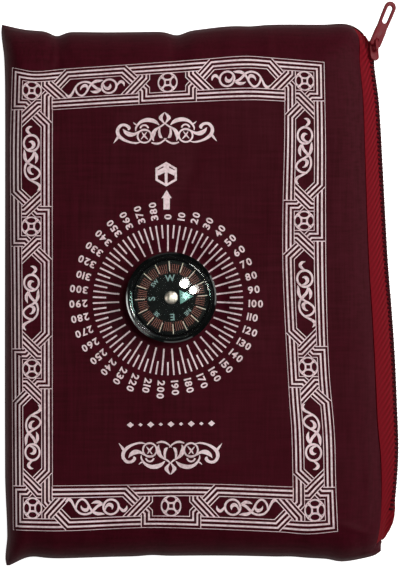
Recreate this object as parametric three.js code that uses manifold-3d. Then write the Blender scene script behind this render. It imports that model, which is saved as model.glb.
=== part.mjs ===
// Pocket prayer mat, folded away in its closed zipped pouch, with a button compass in the face.
// Millimetres, +Z up. The pouch lies on its back: +Y is the head of the print, +X is the zip side.
// The origin is under the middle of the whole plan, on the surface that the pouch lies on.

import * as THREE from 'three';
import { mergeVertices } from 'three/addons/utils/BufferGeometryUtils.js';
import Module from 'manifold-3d';

const wasm = await Module();
wasm.setup();

// Heights of the filled pouch
const CROWN_Z = 18.0;
const CROWN_FALL = { across: 1.3, along: 1.6, power: 2.6 };
const SEAM_Z = { left: 6.4, zip: 8.2, end: 6.2, ear: 3.4 };
const SEAM_BLEND = 12;
const EAR_SPREAD = 5;

// Plan width over which each edge rolls over, on the face and on the back
const FACE_ROLL = { left: 6, zip: 14, head: 13, foot: 11, power: 0.57 };
const BACK_ROLL = { left: 8, zip: 10, head: 10, foot: 10, power: 0.6 };

// Plan of the sewn edges: the head and foot as y along x, the left side and the zip side as x along y
const HEAD_EDGE = [
  { x: -57.9, y: 76.0 },
  { x: -49.7, y: 74.3 },
  { x: -32.1, y: 73.7 },
  { x: -14.5, y: 73.8 },
  { x: -2.8, y: 74.2 },
  { x: 8.4, y: 75.4 },
  { x: 22.4, y: 75.9 },
  { x: 36.5, y: 75.9 },
  { x: 42.6, y: 76.1 },
  { x: 46.1, y: 74.9 },
  { x: 48.8, y: 72.5 },
];
const FOOT_EDGE = [
  { x: -55.8, y: -82.8 },
  { x: -50.5, y: -80.6 },
  { x: -40.9, y: -80.6 },
  { x: -23.3, y: -80.1 },
  { x: 8.4, y: -79.8 },
  { x: 36.5, y: -80.7 },
  { x: 41.8, y: -81.5 },
  { x: 48.8, y: -80.4 },
  { x: 51.7, y: -79.5 },
  { x: 53.2, y: -78.4 },
];
const LEFT_EDGE = [
  { y: -82.8, x: -55.8 },
  { y: -78.7, x: -57.0 },
  { y: -71.6, x: -56.4 },
  { y: -54.1, x: -57.0 },
  { y: 54.9, x: -57.0 },
  { y: 65.5, x: -57.3 },
  { y: 72.5, x: -58.2 },
  { y: 76.0, x: -57.9 },
];
const ZIP_EDGE = [
  { y: -78.4, x: 53.2 },
  { y: -76.0, x: 54.4 },
  { y: -68.1, x: 55.7 },
  { y: -61.1, x: 56.5 },
  { y: -50.0, x: 57.1 },
  { y: -36.5, x: 56.7 },
  { y: -22.4, x: 56.1 },
  { y: -8.4, x: 55.2 },
  { y: 5.7, x: 54.1 },
  { y: 19.8, x: 53.3 },
  { y: 33.8, x: 52.6 },
  { y: 54.9, x: 51.4 },
  { y: 65.5, x: 50.1 },
  { y: 72.5, x: 49.7 },
  { y: 74.3, x: 48.2 },
];
const NOMINAL_FOOT_Y = -80.4;
const NOMINAL_HEAD_Y = 75.0;

// Gathers that the end seams pull into the cloth: a notch in the plan and a trough running in from it
const GATHERS = [
  { edge: 'head', x: -41.8, notch: 1.3, half: 2.4, sink: 1.5, reach: 9 },
  { edge: 'head', x: -6.6, notch: 1.2, half: 2.9, sink: 1.3, reach: 11 },
  { edge: 'head', x: 15.0, notch: 0.3, half: 3.4, sink: 0.6, reach: 8 },
  { edge: 'foot', x: -49.0, notch: 0.3, half: 2.6, sink: 1.0, reach: 7 },
  { edge: 'foot', x: -14.0, notch: 0.3, half: 3.2, sink: 0.7, reach: 8 },
  { edge: 'foot', x: 27.0, notch: 0.2, half: 3.4, sink: 0.7, reach: 8 },
];

// Soft rises and hollows of the face over the folded layers inside
const LUMPS = [
  { x: -26, y: 44, rise: 0.45, spread: 15 },
  { x: 29, y: 31, rise: 0.5, spread: 16 },
  { x: 6, y: 36, rise: -0.4, spread: 7 },
  { x: 24, y: -43, rise: 0.45, spread: 16 },
  { x: -30, y: -40, rise: -0.3, spread: 13 },
  { x: 42, y: -4, rise: 0.3, spread: 12 },
];

// Zip: the angle round the side at which each panel's turned edge stops, and the depths of the layers there
const SEAM_TURN = [
  { y: -72, deg: 22 },
  { y: -55, deg: 32 },
  { y: -40, deg: 38 },
  { y: 0, deg: 40 },
  { y: 50, deg: 38 },
  { y: 75, deg: 34 },
];
const BACK_TURN_RATIO = 1.3;
const STEP = { depth: 1.5, fadeV: 0.014 };
const TAPE = { outer: 0.2, inner: 1.2, chainGap: 2.65, tuck: 0.955, footV: 0.062, headV: 0.984 };
const CHAIN = { inner: -1.12, crest: 1.25, root: 0.85, half: 1.75, chamfer: 0.55, pitch: 1.32, headV: 0.945 };

// Slider and puller
const SLIDER = { v: 0.97, turn: 13, twist: 24, length: 6.0, width: 3.3, plate: 0.9, lift: 0.35, corner: 1.0 };
const BRIDGE = {
  from: -0.6, to: 2.45, clear: 1.7, strap: 0.6, width: 1.05, foot: 0.55, sunk: 0.3,
  innerCut: 0.4, outerCut: 0.7,
};
const PULLER = {
  length: 13.4, width: 3.3, thick: 0.7, lean: 22.6, dip: 3, roll: 27,
  bar: 0.8, eye: 3.1, eyeWidth: 2.0, slot: 6.0, slotWidth: 2.3, slotEnd: 0.8,
  throat: 2.9, throatFrom: 3.9, throatMiddle: 5.1, throatTo: 8.9,
};

// Compass: radii from its middle, heights from the seat of its case
const COMPASS = { x: -8.2, y: -4.1, seatZ: 16.7, seatR: 13.8, shoulderR: 20 };
const CASE = {
  radius: 13.15, foot: 0.6, wall: 11.6, ledgeR: 12.75, floor: 1.2, ledge: 4.1, height: 5.0, bevel: 0.45,
};
const LENS = { radius: 12.42, rim: 0.6, wall: 1.0, rise: 1.7 };
const CARD = { radius: 10.7, z: 2.6, thick: 0.6, hole: 1.1 };
const CAP = {
  radius: 1.7, stem: 0.75, stemDrop: 1.1, brim: 0.2, shoulder: 1.28, shoulderZ: 0.56,
  crown: 0.6, height: 0.75,
};
const PIVOT = { radius: 1.5, flange: 0.2, tip: 0.3 };
const GAP = 0.3;

// Fineness of the meshes
const ROUND_STEPS = 48;
const SMALL_STEPS = 20;
const CURVE_STEPS = 8;
const DOME_STEPS = 6;
const PANEL_GRID = {
  across: 34, acrossCrowding: 0.55, along: 46, alongCrowding: 0.72, side: [0.97, 0.72, 0.48, 0.24, 0],
};
const TAPE_STEPS = 56;
const TAPE_SHARES = [0, 0.25, 0.5, 0.75, 1];
const NORMAL_DELTA = 0.01;

const rad = THREE.MathUtils.degToRad;
const lerp = THREE.MathUtils.lerp;
const smooth = (low, high, t) => THREE.MathUtils.smoothstep(t, low, high);

// Smooth curve through a table's rows, held flat past both ends
function readTable(rows, key, value, at) {
  const last = rows.length - 1;
  if (at <= rows[0][key]) return rows[0][value];
  if (at >= rows[last][key]) return rows[last][value];
  const k = rows.findIndex((row) => row[key] > at) - 1;
  const slope = (i) => {
    const a = rows[Math.max(i - 1, 0)];
    const b = rows[Math.min(i + 1, last)];
    return (b[value] - a[value]) / (b[key] - a[key]);
  };
  const span = rows[k + 1][key] - rows[k][key];
  const t = (at - rows[k][key]) / span;
  const rise = rows[k + 1][value] - rows[k][value];
  const bend = t * (1 - t) * ((1 - t) * (slope(k) * span - rise) - t * (slope(k + 1) * span - rise));
  return rows[k][value] + t * rise + bend;
}

function gatherNotch(edge, x) {
  return GATHERS.filter((g) => g.edge === edge)
    .reduce((sum, g) => sum + g.notch * Math.exp(-(((x - g.x) / g.half) ** 2)), 0);
}

const headY = (x) => readTable(HEAD_EDGE, 'x', 'y', x) - gatherNotch('head', x);
const footY = (x) => readTable(FOOT_EDGE, 'x', 'y', x) + gatherNotch('foot', x);
const nominalY = (v) => lerp(NOMINAL_FOOT_Y, NOMINAL_HEAD_Y, v);
const leftX = (v) => readTable(LEFT_EDGE, 'y', 'x', nominalY(v));
const zipX = (v) => readTable(ZIP_EDGE, 'y', 'x', nominalY(v));
const seamTurn = (v) => rad(readTable(SEAM_TURN, 'y', 'deg', nominalY(v)));

// Share of the full height reached at a plan distance from an edge: 0 on the seam, 1 past the roll
function rollShare(distance, width, power) {
  const t = THREE.MathUtils.clamp(distance / width, 0, 1);
  return (1 - (1 - t) ** 2) ** power;
}

// Height of the sewn seam line: it droops at the ends and most at the two ears
function seamZ(x, v, headGap, footGap) {
  const across = (x - leftX(v)) / (zipX(v) - leftX(v));
  const side = lerp(SEAM_Z.left, SEAM_Z.zip, across);
  const endGap = Math.min(headGap, footGap);
  const side2end = lerp(SEAM_Z.end, side, smooth(0, SEAM_BLEND, endGap));
  const ear = Math.exp(-((x - leftX(v)) ** 2 + endGap ** 2) / (2 * EAR_SPREAD ** 2));
  return lerp(side2end, SEAM_Z.ear, ear);
}

// Free height of the face: a low crown with lumps, gathers and the flat seat under the compass
function crownZ(x, y, v, headGap, footGap) {
  const halfWidth = (zipX(v) - leftX(v)) / 2;
  const across = Math.abs((x - leftX(v)) / halfWidth - 1) ** CROWN_FALL.power;
  const along = Math.abs(2 * v - 1) ** CROWN_FALL.power;
  let z = CROWN_Z - CROWN_FALL.across * across - CROWN_FALL.along * along;
  for (const lump of LUMPS) {
    z += lump.rise * Math.exp(-((x - lump.x) ** 2 + (y - lump.y) ** 2) / (2 * lump.spread ** 2));
  }
  for (const g of GATHERS) {
    const gap = g.edge === 'head' ? headGap : footGap;
    z -= g.sink * Math.exp(-(((x - g.x) / g.half) ** 2) - gap / g.reach);
  }
  const seat = smooth(COMPASS.seatR, COMPASS.shoulderR, Math.hypot(x - COMPASS.x, y - COMPASS.y));
  return lerp(COMPASS.seatZ, z, seat);
}

// Point of the pouch's outer form at plan x and lengthwise share v: face = 1 above, -1 below
function outerPoint(face, x, v) {
  const y = lerp(footY(x), headY(x), v);
  const headGap = headY(x) - y;
  const footGap = y - footY(x);
  const roll = face > 0 ? FACE_ROLL : BACK_ROLL;
  const share = rollShare(x - leftX(v), roll.left, roll.power)
    * rollShare(zipX(v) - x, roll.zip, 0.5)
    * rollShare(headGap, roll.head, roll.power)
    * rollShare(footGap, roll.foot, roll.power);
  const far = face > 0 ? crownZ(x, y, v, headGap, footGap) : 0;
  return new THREE.Vector3(x, y, lerp(seamZ(x, v, headGap, footGap), far, share));
}

// Plan x at an angle round the zip side, 0 at its middle height
function turnX(face, turn, v) {
  const roll = face > 0 ? FACE_ROLL.zip : BACK_ROLL.zip;
  return zipX(v) - roll * (1 - Math.cos(turn));
}

// Point at an angle round the zip side, sunk below the outer form square to its section
function zipPoint(face, turn, v, depth) {
  const point = outerPoint(face, turnX(face, turn, v), v);
  const delta = NORMAL_DELTA;
  if (turn < delta) {
    point.x -= depth;
    return point;
  }
  const before = outerPoint(face, turnX(face, turn - delta, v), v);
  const after = outerPoint(face, turnX(face, turn + delta, v), v);
  const dx = after.x - before.x;
  const dz = after.z - before.z;
  const size = Math.hypot(dx, dz) || 1;
  point.x -= depth * Math.abs(dz) / size;
  point.z -= depth * face * Math.abs(dx) / size;
  return point;
}

// Depth of the step in which the tapes lie, fading out past both ends of the zip
function stepDepth(v) {
  const foot = smooth(TAPE.footV - 2 * STEP.fadeV, TAPE.footV - STEP.fadeV, v);
  const head = 1 - smooth(TAPE.headV + STEP.fadeV / 4, TAPE.headV + STEP.fadeV, v);
  return STEP.depth * foot * head;
}

// Shares from 0 to 1, closer together towards both ends
function easedShares(count, crowding) {
  return Array.from({ length: count + 1 }, (_, i) => {
    const t = i / count;
    return t - crowding * Math.sin(2 * Math.PI * t) / (2 * Math.PI);
  });
}

function geometryFrom(points, faces) {
  const geometry = new THREE.BufferGeometry();
  const numbers = points.flatMap((p) => [p.x, p.y, p.z]);
  geometry.setAttribute('position', new THREE.Float32BufferAttribute(numbers, 3));
  geometry.setIndex(faces.flat());
  return geometry;
}

// Closed body carried through rings of points: each ring runs the same way round, the ends are fanned shut
function loftRings(rings) {
  const sides = rings[0].length;
  const points = rings.flat();
  const faces = [];
  for (let i = 0; i + 1 < rings.length; i += 1) {
    for (let j = 0; j < sides; j += 1) {
      const a = i * sides + j;
      const b = i * sides + ((j + 1) % sides);
      faces.push([a, b, b + sides], [a, b + sides, a + sides]);
    }
  }
  for (let j = 1; j + 1 < sides; j += 1) {
    const end = (rings.length - 1) * sides;
    faces.push([0, j + 1, j], [end, end + j, end + j + 1]);
  }
  return geometryFrom(points, faces);
}

// The filled pouch: a face grid and a back grid that share their sewn outline
function pouchGeometry() {
  const acrossShares = easedShares(PANEL_GRID.across, PANEL_GRID.acrossCrowding);
  const rows = easedShares(PANEL_GRID.along, PANEL_GRID.alongCrowding);
  const columns = acrossShares.length + PANEL_GRID.side.length;
  const rowPoints = (face, v) => {
    const turn = seamTurn(v) * (face > 0 ? 1 : BACK_TURN_RATIO);
    const faceSeam = turnX(1, seamTurn(v), v);
    const seam = turnX(face, turn, v);
    const panel = acrossShares.map((share) => {
      const x = lerp(leftX(v), lerp(faceSeam, seam, share), share);
      return outerPoint(face, x, v);
    });
    const side = PANEL_GRID.side.map((share) => zipPoint(face, turn * share, v, stepDepth(v)));
    return [...panel, ...side];
  };
  const points = [];
  const ids = { 1: [], [-1]: [] };
  rows.forEach((v, i) => {
    const above = rowPoints(1, v);
    const below = rowPoints(-1, v);
    const endRow = i === 0 || i === rows.length - 1;
    ids[1].push(above.map((point) => points.push(point) - 1));
    ids[-1].push(below.map((point, j) => {
      const shared = endRow || j === 0 || j === columns - 1;
      return shared ? ids[1][i][j] : points.push(point) - 1;
    }));
  });
  const faces = [];
  for (let i = 0; i + 1 < rows.length; i += 1) {
    for (let j = 0; j + 1 < columns; j += 1) {
      for (const side of [1, -1]) {
        const grid = ids[side];
        const [a, b, c, d] = [grid[i][j], grid[i][j + 1], grid[i + 1][j + 1], grid[i + 1][j]];
        const quad = [[a, b, c], [a, c, d]];
        faces.push(...(side > 0 ? quad : quad.map(([p, q, r]) => [p, r, q])));
      }
    }
  }
  return geometryFrom(points, faces);
}

// One tape of the zip, from its edge beside the chain to its edge under the panel's turned edge
function tapeGeometry(face) {
  const rings = [];
  for (let i = 0; i <= TAPE_STEPS; i += 1) {
    const v = lerp(TAPE.footV, TAPE.headV, i / TAPE_STEPS);
    const wide = seamTurn(v) * (face > 0 ? 1 : BACK_TURN_RATIO) * TAPE.tuck;
    const middle = zipPoint(face, 0, v, 0);
    const crest = zipPoint(face, Math.PI / 2, v, 0);
    const near = Math.min(Math.asin(Math.min(TAPE.chainGap / Math.abs(crest.z - middle.z), 1)), 0.8 * wide);
    const turns = TAPE_SHARES.map((share) => lerp(near, wide, share));
    const outer = turns.map((turn) => zipPoint(face, turn, v, TAPE.outer));
    const inner = turns.map((turn) => zipPoint(face, turn, v, TAPE.inner)).reverse();
    const ring = [...outer, ...inner];
    rings.push(face > 0 ? ring.reverse() : ring);
  }
  return loftRings(rings);
}

// The closed chain of teeth, with a crest and a root for each tooth
function chainGeometry() {
  const length = nominalY(CHAIN.headV) - nominalY(TAPE.footV);
  const rings = [];
  const count = 2 * Math.round(length / CHAIN.pitch);
  for (let i = 0; i <= count; i += 1) {
    const v = lerp(TAPE.footV, CHAIN.headV, i / count);
    const middle = zipPoint(1, 0, v, 0);
    const reach = i % 2 === 0 ? CHAIN.root : CHAIN.crest;
    const section = [
      [CHAIN.inner, -CHAIN.half],
      [CHAIN.inner, CHAIN.half],
      [reach - CHAIN.chamfer, CHAIN.half],
      [reach, 0],
      [reach - CHAIN.chamfer, -CHAIN.half],
    ];
    rings.push(section.map(([x, z]) => new THREE.Vector3(middle.x + x, middle.y, middle.z + z)));
  }
  return loftRings(rings);
}

function solidFrom(geometry) {
  geometry.deleteAttribute('normal');
  geometry.deleteAttribute('uv');
  const merged = mergeVertices(geometry, 1e-5);
  const mesh = new wasm.Mesh({
    numProp: 3,
    vertProperties: Float32Array.from(merged.attributes.position.array),
    triVerts: Uint32Array.from(merged.index.array),
  });
  return new wasm.Manifold(mesh);
}

function geometryOf(solid) {
  const mesh = solid.getMesh();
  const geometry = new THREE.BufferGeometry();
  geometry.setAttribute('position', new THREE.BufferAttribute(Float32Array.from(mesh.vertProperties), 3));
  geometry.setIndex(new THREE.BufferAttribute(Uint32Array.from(mesh.triVerts), 1));
  return geometry;
}

function roundedPlate(length, width, corner) {
  const [l, w] = [length / 2, width / 2];
  const shape = new THREE.Shape();
  shape.moveTo(-l + corner, -w);
  shape.lineTo(l - corner, -w);
  shape.absarc(l - corner, -w + corner, corner, -Math.PI / 2, 0);
  shape.lineTo(l, w - corner);
  shape.absarc(l - corner, w - corner, corner, 0, Math.PI / 2);
  shape.lineTo(-l + corner, w);
  shape.absarc(-l + corner, w - corner, corner, Math.PI / 2, Math.PI);
  shape.lineTo(-l, -w + corner);
  shape.absarc(-l + corner, -w + corner, corner, Math.PI, 1.5 * Math.PI);
  return shape;
}

// Slider in its own axes: x along the zip, y across it, z away from the side
function sliderGeometry() {
  const plate = new THREE.ExtrudeGeometry(roundedPlate(SLIDER.length, SLIDER.width, SLIDER.corner), {
    depth: SLIDER.plate,
    bevelEnabled: false,
    curveSegments: CURVE_STEPS / 2,
  });
  const top = BRIDGE.clear + BRIDGE.strap;
  const arch = new THREE.Shape([
    [BRIDGE.from - BRIDGE.foot, -BRIDGE.sunk],
    [BRIDGE.from, -BRIDGE.sunk],
    [BRIDGE.from, BRIDGE.clear - BRIDGE.innerCut],
    [BRIDGE.from + BRIDGE.innerCut, BRIDGE.clear],
    [BRIDGE.to - BRIDGE.innerCut, BRIDGE.clear],
    [BRIDGE.to, BRIDGE.clear - BRIDGE.innerCut],
    [BRIDGE.to, -BRIDGE.sunk],
    [BRIDGE.to + BRIDGE.foot, -BRIDGE.sunk],
    [BRIDGE.to + BRIDGE.foot, top - BRIDGE.outerCut],
    [BRIDGE.to, top],
    [BRIDGE.from, top],
    [BRIDGE.from - BRIDGE.foot, top - BRIDGE.outerCut],
  ].map(([x, y]) => new THREE.Vector2(x, y)));
  const bridge = new THREE.ExtrudeGeometry(arch, { depth: BRIDGE.width, bevelEnabled: false });
  bridge.rotateX(Math.PI / 2);
  bridge.translate(0, BRIDGE.width / 2, SLIDER.plate);
  return geometryOf(solidFrom(plate).add(solidFrom(bridge)));
}

// Puller in its own axes: x from the middle of its bar towards the tip, y across, z through the thickness
function pullerGeometry() {
  const end = PULLER.bar / 2;
  const half = PULLER.width / 2;
  const outline = new THREE.Shape();
  outline.moveTo(-end, -half);
  outline.lineTo(PULLER.throatFrom, -half);
  outline.lineTo(PULLER.throatMiddle, -PULLER.throat / 2);
  outline.lineTo(PULLER.throatTo, -half);
  outline.absarc(PULLER.length - half - end, 0, half, -Math.PI / 2, Math.PI / 2);
  outline.lineTo(PULLER.throatTo, half);
  outline.lineTo(PULLER.throatMiddle, PULLER.throat / 2);
  outline.lineTo(PULLER.throatFrom, half);
  outline.lineTo(-end, half);
  const eye = new THREE.Path();
  eye.moveTo(end, -PULLER.eyeWidth / 2);
  eye.lineTo(end, PULLER.eyeWidth / 2);
  eye.lineTo(PULLER.eye, PULLER.eyeWidth / 2);
  eye.lineTo(PULLER.eye, -PULLER.eyeWidth / 2);
  const slot = new THREE.Path();
  const slotRadius = PULLER.slotWidth / 2;
  const slotTo = PULLER.length - end - PULLER.slotEnd - slotRadius;
  const slotFrom = slotTo - PULLER.slot + 2 * slotRadius;
  slot.absarc(slotTo, 0, slotRadius, -Math.PI / 2, Math.PI / 2);
  slot.absarc(slotFrom, 0, slotRadius, Math.PI / 2, 1.5 * Math.PI);
  outline.holes.push(eye, slot);
  const geometry = new THREE.ExtrudeGeometry(outline, {
    depth: PULLER.thick,
    bevelEnabled: false,
    curveSegments: CURVE_STEPS,
  });
  geometry.translate(0, 0, -PULLER.thick / 2);
  return geometryOf(solidFrom(geometry));
}

// Lathe from a profile of [radius, height] rows, turned to stand along +Z
function turned(profile, steps = ROUND_STEPS) {
  const geometry = new THREE.LatheGeometry(profile.map(([r, z]) => new THREE.Vector2(r, z)), steps);
  geometry.rotateX(Math.PI / 2);
  return geometryOf(solidFrom(geometry));
}

// Dome height over the lens's edge at a radius
function domeZ(radius, edge, rise) {
  return rise * (1 - (radius / edge) ** 2);
}

const caseGeometry = () => turned([
  [0, 0],
  [CASE.radius - CASE.foot, 0],
  [CASE.radius, CASE.foot],
  [CASE.radius, CASE.height - CASE.bevel],
  [CASE.radius - CASE.bevel / 2, CASE.height],
  [CASE.ledgeR, CASE.height],
  [CASE.ledgeR, CASE.ledge],
  [CASE.wall, CASE.ledge],
  [CASE.wall, CASE.floor],
  [0, CASE.floor],
]);

function lensGeometry() {
  const seat = CASE.ledge + GAP;
  const shares = Array.from({ length: DOME_STEPS + 1 }, (_, i) => 1 - i / DOME_STEPS);
  const inner = LENS.radius - LENS.wall;
  const under = shares.map((s) => [inner * s, seat + domeZ(inner * s, inner, LENS.rise)]).reverse();
  const over = shares.map((s) => {
    const r = LENS.radius * s;
    return [r, seat + LENS.rim + domeZ(r, LENS.radius, LENS.rise + LENS.wall - LENS.rim)];
  });
  return turned([...under, [LENS.radius, seat], ...over]);
}

const cardGeometry = () => turned([
  [CARD.hole, CARD.z],
  [CARD.radius, CARD.z],
  [CARD.radius, CARD.z + CARD.thick],
  [CARD.hole, CARD.z + CARD.thick],
  [CARD.hole, CARD.z],
]);

function capGeometry() {
  const seat = CARD.z + CARD.thick + GAP;
  return turned([
    [0, seat - CAP.stemDrop],
    [CAP.stem, seat - CAP.stemDrop],
    [CAP.stem, seat],
    [CAP.radius, seat],
    [CAP.radius, seat + CAP.brim],
    [CAP.shoulder, seat + CAP.shoulderZ],
    [CAP.crown, seat + CAP.height],
    [0, seat + CAP.height],
  ], SMALL_STEPS);
}

function pivotGeometry() {
  const foot = CASE.floor + GAP;
  const tip = CARD.z + CARD.thick + GAP - CAP.stemDrop - GAP;
  return turned([
    [0, foot],
    [PIVOT.radius, foot],
    [PIVOT.radius, foot + PIVOT.flange],
    [PIVOT.tip, tip],
    [0, tip],
  ], SMALL_STEPS);
}

function piece(name, geometry, color, roughness, metalness = 0) {
  const mesh = new THREE.Mesh(geometry, new THREE.MeshStandardMaterial({ color, roughness, metalness }));
  mesh.name = name;
  return mesh;
}

// Axes of the slider on the side of the pouch: along the zip, across it, and away from it
function sliderFrame() {
  const turn = rad(SLIDER.turn);
  const at = zipPoint(1, turn, SLIDER.v, 0);
  const along = zipPoint(1, turn, SLIDER.v + 0.01, 0).sub(zipPoint(1, turn, SLIDER.v - 0.01, 0)).normalize();
  const upward = zipPoint(1, turn + 0.05, SLIDER.v, 0).sub(zipPoint(1, turn - 0.05, SLIDER.v, 0)).normalize();
  const away = new THREE.Vector3().crossVectors(along, upward).normalize();
  const twisted = away.clone().applyAxisAngle(along, -rad(SLIDER.twist));
  const across = new THREE.Vector3().crossVectors(twisted, along);
  const lift = SLIDER.lift + SLIDER.width / 2 * Math.sin(rad(SLIDER.twist));
  at.addScaledVector(away, lift);
  return { at, basis: new THREE.Matrix4().makeBasis(along, across, twisted), away: twisted, along };
}

const CLOTH_COLOUR = 0x3d131d;
const TAPE_COLOUR = 0x6e1521;
const pouch = new THREE.Group();
pouch.add(piece('pouch', pouchGeometry(), CLOTH_COLOUR, 0.62));
pouch.add(piece('zip_tape_front', tapeGeometry(1), TAPE_COLOUR, 0.8));
pouch.add(piece('zip_tape_back', tapeGeometry(-1), TAPE_COLOUR, 0.8));
pouch.add(piece('zip_chain', chainGeometry(), 0x3a080e, 0.45));

const frame = sliderFrame();
const slider = piece('zip_slider', sliderGeometry(), 0x7c1f29, 0.4);
slider.quaternion.setFromRotationMatrix(frame.basis);
slider.position.copy(frame.at);
pouch.add(slider);

const puller = piece('zip_puller', pullerGeometry(), 0x74303a, 0.4);
const pullerTurn = new THREE.Euler(rad(PULLER.roll), rad(PULLER.dip), rad(90 - PULLER.lean), 'ZYX');
puller.quaternion.setFromEuler(pullerTurn);
puller.position.copy(frame.at)
  .addScaledVector(frame.away, SLIDER.plate + BRIDGE.clear / 2)
  .addScaledVector(frame.along, BRIDGE.to - PULLER.bar);
pouch.add(puller);

const compass = new THREE.Group();
compass.position.set(COMPASS.x, COMPASS.y, COMPASS.seatZ + GAP);
compass.add(piece('compass_case', caseGeometry(), 0x0b0c0d, 0.25));
compass.add(piece('compass_lens', lensGeometry(), 0xdfe8ea, 0.05));
compass.add(piece('compass_pivot', pivotGeometry(), 0xa58a55, 0.4, 0.9));
const card = new THREE.Group();
card.add(piece('compass_card', cardGeometry(), 0x0c1414, 0.5));
card.add(piece('card_cap', capGeometry(), 0xc9b98f, 0.35, 0.8));
compass.add(card);

const group = new THREE.Group();
group.add(pouch, compass);

export default group;
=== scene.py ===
"""Looks of a pocket prayer mat, folded away in its closed zipped pouch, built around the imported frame.

Shapes are worked out in millimetres, in the frame's own axes, and turned to metres when a mesh is made. The
pouch lies on its back: +Y is the head of the print, +X is the zip side and +Z faces the camera.
"""

import math

import bmesh
import bpy
import numpy as np
from bpy.props import FloatProperty, FloatVectorProperty, PointerProperty
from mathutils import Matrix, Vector


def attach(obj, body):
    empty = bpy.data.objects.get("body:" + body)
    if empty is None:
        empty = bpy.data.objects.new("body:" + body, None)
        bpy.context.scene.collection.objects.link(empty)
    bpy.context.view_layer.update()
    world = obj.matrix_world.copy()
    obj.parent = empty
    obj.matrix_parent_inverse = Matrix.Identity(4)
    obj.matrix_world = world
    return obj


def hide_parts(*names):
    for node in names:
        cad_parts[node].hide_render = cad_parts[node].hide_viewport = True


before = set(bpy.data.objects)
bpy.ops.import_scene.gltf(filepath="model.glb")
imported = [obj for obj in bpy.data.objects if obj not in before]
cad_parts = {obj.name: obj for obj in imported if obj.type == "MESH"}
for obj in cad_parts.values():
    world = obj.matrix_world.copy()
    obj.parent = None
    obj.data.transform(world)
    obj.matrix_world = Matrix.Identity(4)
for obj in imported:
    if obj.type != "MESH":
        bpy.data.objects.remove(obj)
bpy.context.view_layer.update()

bl_info = {
    "name": "Folded prayer mat",
    "version": (1, 0, 0),
    "blender": (4, 5, 0),
    "location": "3D View > Sidebar > Prayer Mat",
    "description": "Builds the cloth, zip, compass and screen print of a folded pocket prayer mat",
    "category": "Object",
}

MM = 0.001
DOUBLES = 1e-7
POUCH_BODY = "pouch_body"
CARD_BODY = "card_body"

# Heights of the filled pouch, as in the solid
CROWN_Z = 18.0
CROWN_FALL = {"across": 1.3, "along": 1.6, "power": 2.6}
SEAM_Z = {"left": 6.4, "zip": 8.2, "end": 6.2, "ear": 3.4}
SEAM_BLEND = 12.0
EAR_SPREAD = 5.0

# Plan width over which each edge rolls over, on the face and on the back, and how full the rolls are
FACE_ROLL = {"left": 6.0, "zip": 14.0, "head": 13.0, "foot": 11.0, "power": 0.57}
BACK_ROLL = {"left": 8.0, "zip": 10.0, "head": 10.0, "foot": 10.0, "power": 0.6}
ZIP_ROLL_POWER = 0.5

# Plan of the sewn edges: the head and foot as y along x, the left side and the zip side as x along y, read
# between two nominal ends
HEAD_EDGE = {
    "x": (-57.9, -49.7, -32.1, -14.5, -2.8, 8.4, 22.4, 36.5, 42.6, 46.1, 48.8),
    "y": (76.0, 74.3, 73.7, 73.8, 74.2, 75.4, 75.9, 75.9, 76.1, 74.9, 72.5),
}
FOOT_EDGE = {
    "x": (-55.8, -50.5, -40.9, -23.3, 8.4, 36.5, 41.8, 48.8, 51.7, 53.2),
    "y": (-82.8, -80.6, -80.6, -80.1, -79.8, -80.7, -81.5, -80.4, -79.5, -78.4),
}
LEFT_EDGE = {
    "y": (-82.8, -78.7, -71.6, -54.1, 54.9, 65.5, 72.5, 76.0),
    "x": (-55.8, -57.0, -56.4, -57.0, -57.0, -57.3, -58.2, -57.9),
}
ZIP_EDGE = {
    "y": (-78.4, -76.0, -68.1, -61.1, -50.0, -36.5, -22.4, -8.4, 5.7, 19.8, 33.8, 54.9, 65.5, 72.5, 74.3),
    "x": (53.2, 54.4, 55.7, 56.5, 57.1, 56.7, 56.1, 55.2, 54.1, 53.3, 52.6, 51.4, 50.1, 49.7, 48.2),
}
NOMINAL_FOOT_Y = -80.4
NOMINAL_HEAD_Y = 75.0
NOMINAL_LENGTH = NOMINAL_HEAD_Y - NOMINAL_FOOT_Y

# Gathers that the end seams pull into the cloth: a notch in the plan and a trough running in from it
GATHERS = {
    "edge": ("head", "head", "head", "foot", "foot", "foot"),
    "x": (-41.8, -6.6, 15.0, -49.0, -14.0, 27.0),
    "notch": (1.3, 1.2, 0.3, 0.3, 0.3, 0.2),
    "half": (2.4, 2.9, 3.4, 2.6, 3.2, 3.4),
    "sink": (1.5, 1.3, 0.6, 1.0, 0.7, 0.7),
    "reach": (9.0, 11.0, 8.0, 7.0, 8.0, 8.0),
}

# Soft rises and hollows of the face over the folded layers inside
LUMPS = {
    "x": (-26.0, 29.0, 6.0, 24.0, -30.0, 42.0),
    "y": (44.0, 31.0, 36.0, -43.0, -40.0, -4.0),
    "rise": (0.45, 0.5, -0.4, 0.45, -0.3, 0.3),
    "spread": (15.0, 16.0, 7.0, 16.0, 13.0, 12.0),
}

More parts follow.
